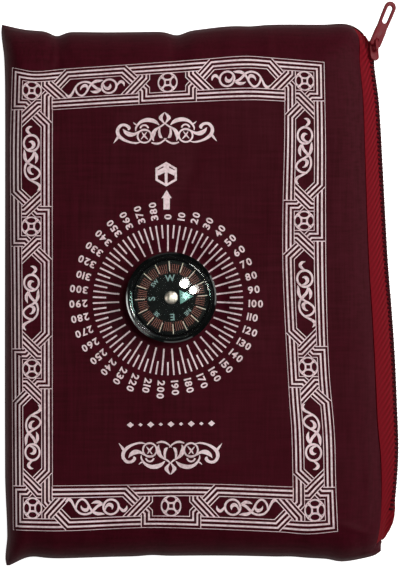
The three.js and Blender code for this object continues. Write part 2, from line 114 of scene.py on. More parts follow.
# Creases of the cloth: middle, direction in degrees, half length, half width, and rise or sink
CREASES = {
    "x": (-42.3, -38.5, -6.0, -2.5, 8.0, 45.6, 52.0, 49.4, 46.0, -20.0, 20.0, -52.0, 33.0, -33.0, 4.0),
    "y": (68.0, 67.0, 68.5, 33.0, -52.5, 49.4, -56.0, -56.0, -72.0, 69.0, 70.0, -20.0, -66.0, -74.0, -75.0),
    "turn": (88, 104, 86, 68, 14, 75, 92, 90, -20, 80, 95, 86, 12, 70, 100),
    "length": (5.0, 4.0, 5.0, 10.0, 8.0, 6.0, 8.0, 9.0, 5.0, 4.0, 4.0, 14.0, 9.0, 4.0, 5.0),
    "width": (0.9, 1.2, 1.0, 3.0, 2.2, 2.6, 1.3, 1.4, 1.2, 1.3, 1.4, 1.6, 1.8, 1.3, 1.4),
    "rise": (0.7, -0.4, 0.6, -0.45, 0.3, -0.45, -0.5, 0.35, 0.4, -0.35, 0.3, 0.25, 0.22, 0.3, -0.3),
}

# Slow waves of the cloth over the folds inside: waves to the metre across and along, start in turns, rise
SWELLS = {
    "across": (31.0, -22.0, 52.0, 17.0, -71.0),
    "along": (18.0, 37.0, -14.0, -49.0, 23.0),
    "start": (0.13, 0.61, 0.34, 0.82, 0.47),
    "rise": (0.10, 0.09, 0.07, 0.07, 0.05),
}

# Puckers along the sewn ends: waves to the metre, start in turns, height, and how far in they reach
PUCKERS = {
    "waves": (118.0, 173.0, 241.0),
    "start": (0.2, 0.7, 0.45),
    "rise": (0.30, 0.20, 0.14),
}
PUCKER_REACH = 4.5
PUCKER_EDGE = 0.9
SEAM_PINCH = {"share": 0.5, "reach": 0.6}

# Zip: the angle round the side at which each panel's turned edge stops, and the depths of the layers there
SEAM_TURN = {
    "y": (-72.0, -55.0, -40.0, 0.0, 50.0, 75.0),
    "degrees": (34.0, 45.0, 51.0, 49.5, 44.0, 39.0),
}
BACK_TURN_RATIO = 1.3
STEP = {"depth": 1.5, "foot_from": 0.014, "foot_to": 0.03, "head_from": 0.993, "head_to": 0.9995}
TAPE = {"outer": 0.2, "inner": 1.2, "tuck": 0.955, "foot": 0.022, "head": 0.9965}
CHAIN = {"foot": 0.08, "head": 0.962}

# Edge of each tape beside the chain: how far it stands from the middle of the side, and how far it bulges
# out
TAPE_EDGE = {
    "v": (0.022, 0.034, 0.045, 0.06, 0.08, 0.12, 0.3, 0.8, 0.95, 0.975, 0.9965),
    "gap": (0.1, 0.1, 0.1, 0.1, 0.3, 1.0, 1.0, 1.0, 1.0, 0.6, 0.1),
    "bulge": (0.0, 0.7, 1.3, 1.8, 1.8, 1.2, 0.8, 0.8, 1.1, 1.2, 0.9),
}
BULGE_REACH = 0.6
NARROWEST_TAPE = 0.8

# Steps round the zip side and along it over which slopes are measured, in radians and as a share
TURN_STEP = 0.01
SLIDER_STEP = {"turn": 0.05, "v": 0.01}
SLIDER = {"v": 0.97, "turn": 13.0, "twist": 37.0, "lift": 0.55}
SEAT = {"z": 16.7, "radius": 13.8, "shoulder": 20.0}

# Compass: its middle, and heights from the seat of its case
COMPASS = np.array([-8.2, -4.1, 17.0])
CARD_TOP = 3.2

# Turned edge of each panel beside the tape: share of the seam's angle, and share of the step's depth. Past
# it, the step's floor runs on at its full depth.
PANEL_LIP = {
    "turn": (0.996, 0.991, 0.985, 0.979, 0.973, 0.968),
    "sink": (0.05, 0.16, 0.36, 0.6, 0.84, 1.0),
}
STEP_FLOOR = (0.72, 0.48, 0.24, 0.0)
GRID_CROWDING = {"across": 0.55, "along": 0.72}

# Zip parts, in millimetres. The ribs fade in and out over shares of the tape's width.
RIB = {"pitch": 2.1, "slant": 4.2, "rise": 0.1, "to": 0.72, "fade_in": 0.06, "fade_out": 0.15}
TOOTH = {"pitch": 1.32, "out": 0.1, "apart": 0.75, "half": (1.1, 0.42, 1.0), "lean": 0.12}
CORE = {"x": -0.5, "half_x": 0.6, "half_z": 1.6, "steps": 90, "around": 16}
SLIDER_PLATE = {"length": 6.0, "width": 2.5, "thick": 0.9, "corner": 1.0, "bevel": 0.18}
SLIDER_BRIDGE = {
    "from": -0.2, "to": 2.45, "clear": 1.2, "strap": 0.6, "width": 1.05, "sunk": 0.3, "corner": 0.6,
    "rounding": 0.4,
}
PULLER = {
    "length": 13.4, "width": 3.2, "thick": 0.8, "bevel": 0.28, "corner": 0.3, "bar": 0.8,
    "lean": 22.6, "dip": 3.0, "roll": 27.0,
    "eye": 1.7, "eye_width": 1.5, "eye_corner": 0.25, "slot": 6.0, "slot_width": 2.3, "slot_end": 0.8,
    "throat": 2.9, "throat_from": 3.9, "throat_middle": 5.1, "throat_to": 8.9,
}
BEVEL_STEPS = 2

# Compass profiles: radius and height over the case's seat, with a rounding for each corner
CASE_PROFILE = (
    ((0, 0), (12.55, 0), (13.15, 0.6), (13.15, 5.0), (13.08, 5.0), (12.66, 4.77), (12.1, 4.77),
     (12.1, 4.1), (11.6, 4.1), (11.6, 1.2), (0, 1.2)),
    (0, 0.3, 0.3, 0.03, 0.03, 0.06, 0.08, 0.1, 0.1, 0.4, 0),
)
PIVOT_PROFILE = (
    ((0, 1.5), (1.5, 1.5), (1.5, 1.7), (0.3, 1.75), (0.3, 2.1), (0, 2.1)),
    (0, 0.05, 0.05, 0.1, 0.12, 0),
)
DISC_PROFILE = (
    ((0, 2.6), (10.7, 2.6), (10.7, 3.2), (0, 3.2)),
    (0, 0.15, 0.2, 0),
)
CAP_PROFILE = (
    ((0, 2.4), (0.75, 2.4), (0.75, 3.24), (1.9, 3.24), (1.9, 3.6), (1.4, 4.02), (0.6, 4.25), (0, 4.25)),
    (0, 0.1, 0, 0.08, 0.15, 0.2, 0.3, 0),
)
LENS = {"radius": 12.02, "seat": 4.4, "rim": 0.6, "rise": 2.0, "inner_radius": 11.42, "inner_rise": 1.7}

# Compass card. A mark has its inner and outer radius and its width at both; a word has its turn, height and
# radius. The fine marks keep clear of the ticks by a share of their own pitch.
CARD = {
    "turn": 3.5, "ticks": 16, "tick": (7.6, 10.5, (0.2, 0.2)),
    "fine": 96, "fine_tick": (7.1, 9.7, (0.2, 0.2)), "clear": 0.9,
    "words": (
        ("W", 90, 1.9, 5.6), ("S", 180, 1.9, 5.6), ("E", 270, 1.9, 5.6),
        ("SW", 135, 1.2, 6.3), ("SE", 225, 1.2, 6.3), ("NE", 315, 1.2, 6.3),
    ),
    "pointer": (2.5, 6.4, (4.0, 0.05)), "film": 0.04, "bold": 0.02,
}

# Angles between faces, in degrees, below which each kind of surface is smooth
SMOOTH = {"cloth": 50, "zip": 60, "casting": 40, "turned": 30}

# Stage, in millimetres and degrees. The floor's glow is what it gives the part and what the camera sees.
STAGE = {
    "floor_half": 900.0, "floor_z": (-4.0, -0.05), "camera_x": 0.15, "camera_y": -0.3, "sensor": 36.0,
    "glow": (0.15, 0.9),
}
LIGHTS = {
    "name": (
        "round_lamp_a", "round_lamp_b", "round_lamp_c",
        "panel_right", "panel_head", "panel_left", "panel_foot",
    ),
    "shape": ("DISK", "DISK", "DISK", "RECTANGLE", "RECTANGLE", "RECTANGLE", "RECTANGLE"),
    "size": (105.0, 88.0, 76.0, 1100.0, 480.0, 480.0, 480.0),
    "size_y": (105.0, 88.0, 76.0, 200.0, 480.0, 480.0, 480.0),
    "tilt": (17.0, 20.8, 12.6, 58.0, 58.0, 58.0, 58.0),
    "azimuth": (47.0, 19.0, 7.0, 15.0, 100.0, 190.0, 280.0),
    "distance": (700.0, 700.0, 700.0, 800.0, 900.0, 900.0, 900.0),
    "power": (0.95, 0.6, 0.17, 6.0, 0.6, 1.4, 0.15),
    "colour": ("fffdf8", "fffaf4", "c4f5e8", "fffdfa", "fffdfa", "fffdfa", "fffdfa"),
}


def linear(colour):
    """An sRGB hex value as linear red, green and blue."""
    parts = (int(colour[i : i + 2], 16) / 255 for i in (0, 2, 4))
    return tuple(p / 12.92 if p <= 0.04045 else ((p + 0.055) / 1.055) ** 2.4 for p in parts)


def lerp(a, b, t):
    """The value a share t of the way from a to b."""
    return a + (b - a) * t


def smooth(low, high, value):
    """Rises from 0 at low to 1 at high as 3t^2 - 2t^3."""
    t = np.clip((value - low) / (high - low), 0, 1)
    return t * t * (3 - 2 * t)


def read_table(table, key, value, at):
    """Smooth curve through a table's rows: the straight line between two rows plus t(1 - t) times a blend of
    what the slopes at both rows add, held flat past both ends."""
    k = np.array(table[key], float)
    w = np.array(table[value], float)
    slope = np.empty_like(w)
    slope[1:-1] = (w[2:] - w[:-2]) / (k[2:] - k[:-2])
    slope[0] = (w[1] - w[0]) / (k[1] - k[0])
    slope[-1] = (w[-1] - w[-2]) / (k[-1] - k[-2])
    at = np.clip(at, k[0], k[-1])
    i = np.clip(np.searchsorted(k, at, side="right") - 1, 0, len(k) - 2)
    span = k[i + 1] - k[i]
    t = (at - k[i]) / span
    rise = w[i + 1] - w[i]
    bend = t * (1 - t) * ((1 - t) * (slope[i] * span - rise) - t * (slope[i + 1] * span - rise))
    return w[i] + t * rise + bend


def table_rows(table):
    """The rows of a table of named columns, one dict a row."""
    return [dict(zip(table, row, strict=True)) for row in zip(*table.values(), strict=True)]


def gather_notch(edge, x):
    """Sum of the bell-shaped notches that the gathers pull into one end of the plan."""
    found = [g for g in table_rows(GATHERS) if g["edge"] == edge]
    return sum(g["notch"] * np.exp(-(((x - g["x"]) / g["half"]) ** 2)) for g in found)


def head_y(x):
    return read_table(HEAD_EDGE, "x", "y", x) - gather_notch("head", x)


def foot_y(x):
    return read_table(FOOT_EDGE, "x", "y", x) + gather_notch("foot", x)


def read_along(table, value, v):
    """A table by y, read at a lengthwise share v of the nominal length."""
    return read_table(table, "y", value, lerp(NOMINAL_FOOT_Y, NOMINAL_HEAD_Y, v))


def left_x(v):
    return read_along(LEFT_EDGE, "x", v)


def zip_x(v):
    return read_along(ZIP_EDGE, "x", v)


def seam_turn(side, v):
    """Angle round the zip side at which a panel's turned edge stops: side is 1 for the face, -1 for the
    back."""
    return np.radians(read_along(SEAM_TURN, "degrees", v)) * (1 if side > 0 else BACK_TURN_RATIO)


def out_at(degrees):
    """Unit vector on the plan at an angle from +X towards +Y."""
    return np.array([math.cos(math.radians(degrees)), math.sin(math.radians(degrees))])


def roll_share(distance, width, power):
    """Share of the full height at a plan distance from an edge: a circle's rise over the width, to a power,
    pinched beside the seam so that the two panels meet in a line."""
    t = np.clip(distance / width, 0, 1)
    pinch = 1 - SEAM_PINCH["share"] * np.exp(-((np.maximum(distance, 0) / SEAM_PINCH["reach"]) ** 2))
    return (1 - (1 - t) ** 2) ** power * pinch


def seam_z(x, v, head_gap, foot_gap):
    """Height of the sewn seam line: side heights blended across, drooping at the ends and most at two
    ears."""
    across = (x - left_x(v)) / (zip_x(v) - left_x(v))
    end_gap = np.minimum(head_gap, foot_gap)
    side = lerp(SEAM_Z["left"], SEAM_Z["zip"], across)
    edge = lerp(SEAM_Z["end"], side, smooth(0, SEAM_BLEND, end_gap))
    ear = np.exp(-((x - left_x(v)) ** 2 + end_gap**2) / (2 * EAR_SPREAD**2))
    return lerp(edge, SEAM_Z["ear"], ear)


def fold_z(x, y):
    """Creases and slow swells of the face. A crease is a ridge, bell-shaped across and faded along its
    length."""
    z = np.zeros(np.broadcast(x, y).shape)
    for crease in table_rows(CREASES):
        turn = math.radians(crease["turn"])
        along = (x - crease["x"]) * math.cos(turn) + (y - crease["y"]) * math.sin(turn)
        off = (y - crease["y"]) * math.cos(turn) - (x - crease["x"]) * math.sin(turn)
        z += crease["rise"] * np.exp(-((along / crease["length"]) ** 2) - (off / crease["width"]) ** 2)
    for swell in table_rows(SWELLS):
        turns = MM * (swell["across"] * x + swell["along"] * y) + swell["start"]
        z += swell["rise"] * np.sin(2 * math.pi * turns)
    return z


def pucker_z(x, head_gap, foot_gap):
    """Short waves beside the sewn ends, strongest a little way in from the seam and gone a few millimetres
    on."""
    rows = table_rows(PUCKERS)
    waves = sum(p["rise"] * np.sin(2 * math.pi * (MM * p["waves"] * x + p["start"])) for p in rows)
    gap = np.maximum(np.minimum(head_gap, foot_gap), 0)
    return waves * smooth(0, PUCKER_EDGE, gap) * np.exp(-gap / PUCKER_REACH)


def crown_z(x, y, v, head_gap, foot_gap):
    """Free height of the face: a low crown with lumps, gathers, folds and the flat seat under the
    compass."""
    half = (zip_x(v) - left_x(v)) / 2
    z = CROWN_Z - CROWN_FALL["across"] * np.abs((x - left_x(v)) / half - 1) ** CROWN_FALL["power"]
    z = z - CROWN_FALL["along"] * np.abs(2 * v - 1) ** CROWN_FALL["power"]
    for lump in table_rows(LUMPS):
        apart = (x - lump["x"]) ** 2 + (y - lump["y"]) ** 2
        z = z + lump["rise"] * np.exp(-apart / (2 * lump["spread"] ** 2))
    for g in table_rows(GATHERS):
        gap = head_gap if g["edge"] == "head" else foot_gap
        z = z - g["sink"] * np.exp(-(((x - g["x"]) / g["half"]) ** 2) - gap / g["reach"])
    z = z + fold_z(x, y) + pucker_z(x, head_gap, foot_gap)
    seat = smooth(SEAT["radius"], SEAT["shoulder"], np.hypot(x - COMPASS[0], y - COMPASS[1]))
    return lerp(SEAT["z"], z, seat)


def height_at(side, x, y, v):
    """Height of the pouch over a plan point: from the seam's height to the free height by each roll's
    share."""
    head_gap = head_y(x) - y
    foot_gap = y - foot_y(x)
    roll = FACE_ROLL if side > 0 else BACK_ROLL
    share = (
        roll_share(x - left_x(v), roll["left"], roll["power"])
        * roll_share(zip_x(v) - x, roll["zip"], ZIP_ROLL_POWER)
        * roll_share(head_gap, roll["head"], roll["power"])
        * roll_share(foot_gap, roll["foot"], roll["power"])
    )
    far = crown_z(x, y, v, head_gap, foot_gap) if side > 0 else 0.0
    return lerp(seam_z(x, v, head_gap, foot_gap), far, share)


def outer_point(side, x, v):
    """Point of the pouch's outer form at plan x and lengthwise share v: side is 1 above and -1 below."""
    x, v = np.broadcast_arrays(np.asarray(x, float), np.asarray(v, float))
    y = lerp(foot_y(x), head_y(x), v)
    return np.stack([x, y, height_at(side, x, y, v)], axis=-1)


def face_height(x, y):
    """Height of the face over plan points."""
    v = (y - foot_y(x)) / (head_y(x) - foot_y(x))
    return height_at(1, x, y, v)


def turn_x(side, turn, v):
    """Plan x at an angle round the zip side, 0 at its middle height."""
    roll = (FACE_ROLL if side > 0 else BACK_ROLL)["zip"]
    return zip_x(v) - roll * (1 - np.cos(turn))


def zip_point(side, turn, v, depth):
    """Point at an angle round the zip side, sunk below the outer form square to its section."""
    turn, v, depth = np.broadcast_arrays(*(np.asarray(a, float) for a in (turn, v, depth)))
    point = outer_point(side, turn_x(side, turn, v), v)
    before = outer_point(side, turn_x(side, np.maximum(turn - TURN_STEP, 0), v), v)
    after = outer_point(side, turn_x(side, turn + TURN_STEP, v), v)
    dx = np.abs(after[..., 0] - before[..., 0])
    dz = np.abs(after[..., 2] - before[..., 2])
    size = np.hypot(dx, dz)
    flat = turn < TURN_STEP
    point[..., 0] -= depth * np.where(flat, 1.0, dz / size)
    point[..., 2] -= depth * side * np.where(flat, 0.0, dx / size)
    return point


def step_depth(v):
    """Depth of the step in which the tapes lie, fading out past both ends of the zip."""
    foot = smooth(STEP["foot_from"], STEP["foot_to"], v)
    head = 1 - smooth(STEP["head_from"], STEP["head_to"], v)
    return STEP["depth"] * foot * head


def eased_shares(count, crowding):
    """Shares from 0 to 1, t less a sine of t, so that they crowd towards both ends."""
    t = np.linspace(0, 1, count + 1)
    return t - crowding * np.sin(2 * math.pi * t) / (2 * math.pi)


def grid_faces(ids):
    """Quads between the rows and columns of a grid of vertex numbers."""
    return np.stack([ids[:-1, :-1], ids[:-1, 1:], ids[1:, 1:], ids[1:, :-1]], axis=-1).reshape(-1, 4)


def face_list(faces):
    return faces.tolist() if isinstance(faces, np.ndarray) else faces


def make_mesh(name, points, faces, smooth_angle=None, maps=None):
    """Mesh from points in millimetres and faces. Doubles are merged and faces turned outwards; it is smooth
    below the angle in degrees, or flat without one. A map gives two numbers for each point."""
    mesh = bpy.data.meshes.new(name)
    mesh.from_pydata((np.asarray(points) * MM).tolist(), [], face_list(faces))
    for layer, values in (maps or {}).items():
        corners = np.empty(len(mesh.loops), int)
        mesh.loops.foreach_get("vertex_index", corners)
        mesh.uv_layers.new(name=layer).data.foreach_set("uv", values[corners].ravel())
    tidy = bmesh.new()
    tidy.from_mesh(mesh)
    bmesh.ops.remove_doubles(tidy, verts=tidy.verts, dist=DOUBLES)
    bmesh.ops.recalc_face_normals(tidy, faces=tidy.faces)
    tidy.to_mesh(mesh)
    tidy.free()
    if smooth_angle is None:
        mesh.shade_flat()
    else:
        mesh.shade_smooth()
        mesh.set_sharp_from_angle(angle=math.radians(smooth_angle))
    return mesh


def add_piece(name, mesh, material, body, replaces=()):
    """Links a finished mesh as a piece that rides on a body and stands for its CAD nodes."""
    if not mesh.polygons:
        raise RuntimeError(f"{name} has no faces")
    mesh.materials.append(material)
    piece = bpy.data.objects.new(name, mesh)
    bpy.context.scene.collection.objects.link(piece)
    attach(piece, body)
    if replaces:
        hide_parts(*replaces)
    return piece


def join_shells(shells):
    """Several (points, faces) shells as one, with the vertex numbers moved on."""
    points, faces, start = [], [], 0
    for shell_points, shell_faces in shells:
        points.append(np.asarray(shell_points).reshape(-1, 3))
        faces.extend([[i + start for i in f] for f in face_list(shell_faces)])
        start += len(points[-1])
    return np.concatenate(points), faces


def loft(rings, closed=False):
    """Closed body through rings of points: quads between neighbours, and a face over both ends unless
    closed."""
    rings = np.asarray(rings)
    count, sides = rings.shape[:2]
    ids = np.arange(count * sides).reshape(count, sides)
    wrapped = np.concatenate([ids, ids[:, :1]], axis=1)
    if closed:
        wrapped = np.concatenate([wrapped, wrapped[:1]])
    faces = grid_faces(wrapped).tolist()
    if not closed:
        faces += [ids[0, ::-1].tolist(), ids[-1].tolist()]
    return rings.reshape(-1, 3), faces


def pouch_surface(across=170, along=210):
    """The filled pouch: a face grid and a back grid over plan x and lengthwise share v, with one outline.
    Each row ends in the panel's turned edge, which rounds down a step, and the floor that the tape lies
    on."""
    shares = eased_shares(across, GRID_CROWDING["across"])[None, :]
    v = eased_shares(along, GRID_CROWDING["along"])[:, None]
    face_seam = turn_x(1, seam_turn(1, v), v)
    turns = np.concatenate([PANEL_LIP["turn"], STEP_FLOOR])[None, :]
    sinks = np.concatenate([PANEL_LIP["sink"], np.ones(len(STEP_FLOOR))])[None, :]
    grids = {}
    for side in (1, -1):
        turn = seam_turn(side, v)
        seam = turn_x(side, turn, v)
        x = lerp(left_x(v), lerp(face_seam, seam, shares), shares)
        panel = outer_point(side, x, v)
        rim = zip_point(side, turn * turns, v, step_depth(v) * sinks)
        grids[side] = np.concatenate([panel, rim], axis=1)
    rows, columns = grids[1].shape[:2]
    face_ids = np.arange(rows * columns).reshape(rows, columns)
    back_ids = face_ids.copy()
    inner = (slice(1, -1), slice(1, -1))
    back_ids[inner] = face_ids.size + np.arange(face_ids[inner].size).reshape(rows - 2, columns - 2)
    points = np.concatenate([grids[1].reshape(-1, 3), grids[-1][inner].reshape(-1, 3)])
    faces = np.concatenate([grid_faces(face_ids), grid_faces(back_ids)[:, ::-1]])
    return points, faces


def tape_surface(side, rows=560, columns=40):
    """One tape of the zip: a grid round the side, from beside the chain to under the panel's turned edge,
    with slanting ribs raised on it as a sine of a mix of both directions, and a smooth underside."""
    v = np.linspace(TAPE["foot"], TAPE["head"], rows + 1)[:, None]
    wide = seam_turn(side, v) * TAPE["tuck"]
    middle = zip_point(side, 0.0, v, 0.0)
    crest = zip_point(side, math.pi / 2, v, 0.0)
    gap = read_table(TAPE_EDGE, "v", "gap", v)
    chain = np.arcsin(np.minimum(gap / np.abs(crest[..., 2] - middle[..., 2]), 1))
    near = np.minimum(chain, NARROWEST_TAPE * wide)
    share = np.linspace(0, 1, columns + 1)[None, :]
    turn = lerp(near, wide, share)
    length = NOMINAL_LENGTH * v
    cycle = 2 * math.pi * (length / RIB["pitch"] + share * RIB["slant"])
    edge = smooth(0, RIB["fade_in"], share) * smooth(RIB["to"], RIB["to"] - RIB["fade_out"], share)
    rib = RIB["rise"] * (0.5 + 0.5 * np.sin(cycle)) * edge
    bulge = read_table(TAPE_EDGE, "v", "bulge", v) * (1 - smooth(0, BULGE_REACH, share))
    outer = zip_point(side, turn, v, TAPE["outer"] - bulge - rib + RIB["rise"] * 0.5)
    inner = zip_point(side, turn, v, TAPE["inner"])
    ring = np.concatenate([outer, inner[:, ::-1]], axis=1)
    across = np.broadcast_to(share, outer.shape[:2])
    ribs = np.concatenate([across, across[:, ::-1]], axis=1)
    lengths = np.broadcast_to(length, ribs.shape)
    points, faces = loft(ring)
    return points, faces, np.stack([ribs, lengths * MM], axis=-1).reshape(-1, 2)


def superblock(centres, half_sizes, lean, around=12, up=8, power=0.55):
    """Rounded blocks at rows of centres: a sphere's angles, with their sines and cosines taken to a
    power."""

    def drawn(value):
        return np.sign(value) * np.abs(value) ** power

    a = np.linspace(0, 2 * math.pi, around, endpoint=False)[None, :]
    b = np.linspace(-math.pi / 2, math.pi / 2, up + 1)[:, None]
    unit = np.stack([
        drawn(np.cos(b)) * drawn(np.cos(a)),
        drawn(np.cos(b)) * drawn(np.sin(a)),
        drawn(np.sin(b)) * np.ones_like(a),
    ], axis=-1)
    body = unit * half_sizes
    body[..., 1] += lean * body[..., 2]
    ids = np.arange(body[..., 0].size).reshape(up + 1, around)
    faces = grid_faces(np.concatenate([ids, ids[:, :1]], axis=1))
    return join_shells([(body + centre, faces) for centre in centres])


def teeth_surface():
    """The closed chain: a rounded tooth from each side by turns, a pitch apart, over a core that joins
    them."""
    count = int(round(NOMINAL_LENGTH * (CHAIN["head"] - CHAIN["foot"]) / TOOTH["pitch"]))
    v = lerp(CHAIN["foot"], CHAIN["head"], (np.arange(2 * count) + 0.5) / (2 * count))
    middle = zip_point(1, 0.0, v, 0.0)
    above = np.where(np.arange(2 * count) % 2 == 0, 1.0, -1.0)
    centres = middle + np.stack([
        np.full_like(v, TOOTH["out"]), np.zeros_like(v), above * TOOTH["apart"],
    ], axis=-1)
    teeth = superblock(centres, np.array(TOOTH["half"]), TOOTH["lean"])
    core_v = np.linspace(CHAIN["foot"], CHAIN["head"], CORE["steps"])
    line = zip_point(1, 0.0, core_v, 0.0)
    angle = np.linspace(0, 2 * math.pi, CORE["around"], endpoint=False)
    section = np.stack([
        CORE["x"] + CORE["half_x"] * np.cos(angle),
        np.zeros_like(angle),
        -CORE["half_z"] * np.sin(angle),
    ], axis=-1)
    return join_shells([teeth, loft(line[:, None, :] + section[None, :, :])])


def turn_matrix(axis, degrees):
    """Right-handed turn about one of the frame's axes."""
    c, s = math.cos(math.radians(degrees)), math.sin(math.radians(degrees))
    i, j = [(1, 2), (2, 0), (0, 1)][axis]
    m = np.eye(3)
    m[i, i], m[j, j], m[j, i], m[i, j] = c, c, s, -s
    return m


def unit(vector):
    return vector / np.linalg.norm(vector)


def slider_axes():
    """Place of the slider's underside, and its axes as columns: along the zip, across it and away from
    it."""
    turn, v = math.radians(SLIDER["turn"]), SLIDER["v"]
    turn_step, v_step = SLIDER_STEP["turn"], SLIDER_STEP["v"]
    at = zip_point(1, turn, v, 0.0)
    along = unit(zip_point(1, turn, v + v_step, 0.0) - zip_point(1, turn, v - v_step, 0.0))
    upward = unit(zip_point(1, turn + turn_step, v, 0.0) - zip_point(1, turn - turn_step, v, 0.0))
    away = unit(np.cross(along, upward))
    twist = math.radians(SLIDER["twist"])
    twisted = away * math.cos(twist) - np.cross(along, away) * math.sin(twist)
    across = np.cross(twisted, along)
    at = at + away * (SLIDER["lift"] + SLIDER_PLATE["width"] / 2 * math.sin(twist))
    return at, np.stack([along, across, twisted], axis=1)


def flat_plate(name, splines, thick, bevel):
    """Points and faces of a plate with rounded edges, from closed outlines: the first is its edge and the
    rest are holes. Its middle plane is at height 0."""
    curve = bpy.data.curves.new(name, "CURVE")
    curve.dimensions = "2D"
    curve.fill_mode = "BOTH"
    curve.extrude = thick / 2 - bevel
    curve.bevel_depth = bevel
    curve.bevel_resolution = BEVEL_STEPS
    for outline in splines:
        spline = curve.splines.new("POLY")
        spline.points.add(len(outline) - 1)
        rows = np.column_stack([outline, np.zeros(len(outline)), np.ones(len(outline))])
        spline.points.foreach_set("co", rows.ravel())
        spline.use_cyclic_u = True
    return mesh_of_curve(curve)


def mesh_of_curve(curve):
    """Points and faces of a curve or text, made a mesh and then removed."""
    holder = bpy.data.objects.new(curve.name, curve)
    bpy.context.scene.collection.objects.link(holder)
    bpy.context.view_layer.update()
    mesh = bpy.data.meshes.new_from_object(holder)
    points = np.empty(len(mesh.vertices) * 3)
    mesh.vertices.foreach_get("co", points)
    faces = [list(p.vertices) for p in mesh.polygons]
    bpy.data.objects.remove(holder)
    bpy.data.curves.remove(curve)
    bpy.data.meshes.remove(mesh)
    return points.reshape(-1, 3), faces


def arc(centre, radius, start, end, steps=12):
    """Points of an arc, angles in degrees."""
    a = np.radians(np.linspace(start, end, steps + 1))
    return np.stack([centre[0] + radius * np.cos(a), centre[1] + radius * np.sin(a)], axis=1)


def rounded_rectangle(half_x, half_y, radius):
    corners = (half_x, -half_y, -90), (half_x, half_y, 0), (-half_x, half_y, 90), (-half_x, -half_y, 180)
    return np.concatenate([
        arc((x - math.copysign(radius, x), y - math.copysign(radius, y)), radius, start, start + 90, 6)
        for x, y, start in corners
    ])


def bridge_surface():
    """The slider's bridge: a rounded section carried up one leg, over a rounded top and down the other
    leg."""
    b = SLIDER_BRIDGE
    low, top, corner = -b["sunk"], b["clear"] + b["strap"] / 2, b["corner"]
    start, end = b["from"] - b["strap"] / 2, b["to"] + b["strap"] / 2
    path = np.concatenate([
        [[start, low]],
        arc((start + corner, top - corner), corner, 180, 90, 8),
        arc((end - corner, top - corner), corner, 90, 0, 8),
        [[end, low]],
    ])
    step = np.gradient(path, axis=0)
    step /= np.linalg.norm(step, axis=1)[:, None]
    normal = np.stack([-step[:, 1], step[:, 0]], axis=1)
    section = rounded_rectangle(b["strap"] / 2, b["width"] / 2, b["strap"] * b["rounding"])
    rings = np.zeros((len(path), len(section), 3))
    rings[..., 0] = path[:, None, 0] + normal[:, None, 0] * section[None, :, 0]
    rings[..., 1] = section[None, :, 1]
    rings[..., 2] = path[:, None, 1] + normal[:, None, 1] * section[None, :, 0]
    return loft(rings)


def slider_surface():
    """The slider: a rounded top plate and the bridge that stands on it."""
    p = SLIDER_PLATE
    outline = rounded_rectangle(p["length"] / 2, p["width"] / 2, p["corner"])
    plate, faces = flat_plate("slider_plate", [outline], p["thick"], p["bevel"])
    plate[:, 2] += p["thick"] / 2
    bridge, bridge_faces = bridge_surface()
    bridge[:, 2] += p["thick"]
    return join_shells([(plate, faces), (bridge, bridge_faces)])


def puller_surface():
    """The pull tab: a rounded plate with a waist, an eye for the bridge and a long slot, in its own axes."""
    p = PULLER
    end, half, corner = p["bar"] / 2, p["width"] / 2, p["corner"]
    waist, tip = p["throat"] / 2, p["length"] - half - end
    outline = np.concatenate([
        arc((corner - end, corner - half), corner, 180, 270, 4),
        [[p["throat_from"], -half], [p["throat_middle"], -waist], [p["throat_to"], -half]],
        arc((tip, 0), half, -90, 90, 20),
        [[p["throat_to"], half], [p["throat_middle"], waist], [p["throat_from"], half]],
        arc((corner - end, half - corner), corner, 90, 180, 4),
    ])
    eye = rounded_rectangle((p["eye"] - end) / 2, p["eye_width"] / 2, p["eye_corner"])
    eye += [(p["eye"] + end) / 2, 0]
    radius = p["slot_width"] / 2
    slot_to = p["length"] - end - p["slot_end"] - radius
    slot_from = slot_to - p["slot"] + 2 * radius
    slot = np.concatenate([arc((slot_to, 0), radius, -90, 90), arc((slot_from, 0), radius, 90, 270)])
    return flat_plate("puller_plate", [outline, eye, slot], p["thick"], p["bevel"])


def puller_axes():
    """Place of the puller's bar under the bridge, and its axes as columns."""
    at, axes = slider_axes()
    along, away = axes[:, 0], axes[:, 2]
    at = at + away * (SLIDER_PLATE["thick"] + SLIDER_BRIDGE["clear"] / 2)
    at = at + along * (SLIDER_BRIDGE["to"] - PULLER["bar"])
    lean = turn_matrix(2, 90 - PULLER["lean"])
    return at, lean @ turn_matrix(1, PULLER["dip"]) @ turn_matrix(0, PULLER["roll"])


def lathe(profile, steps=96):
    """Body turned round the compass's axis: a profile of radius and height, from the seat of the case."""
    profile = np.asarray(profile, float)
    a = np.linspace(0, 2 * math.pi, steps, endpoint=False)
    ring = np.stack([
        COMPASS[0] + profile[None, :, 0] * np.cos(a)[:, None],
        COMPASS[1] + profile[None, :, 0] * np.sin(a)[:, None],
        COMPASS[2] + np.broadcast_to(profile[:, 1], (steps, len(profile))),
    ], axis=-1)
    return loft(ring, closed=True)


def rounded(profile, radii, steps=4):
    """A closed profile with its corners rounded: each corner becomes an arc drawn as a quadratic curve."""
    profile = np.asarray(profile, float)
    points = []
    for i, corner in enumerate(profile):
        if not radii[i]:
            points.append(corner[None, :])
            continue
        before = corner + unit(profile[i - 1] - corner) * radii[i]
        after = corner + unit(profile[(i + 1) % len(profile)] - corner) * radii[i]
        t = np.linspace(0, 1, steps + 1)[:, None]
        points.append(before * (1 - t) ** 2 + 2 * corner * t * (1 - t) + after * t**2)
    return np.concatenate(points)


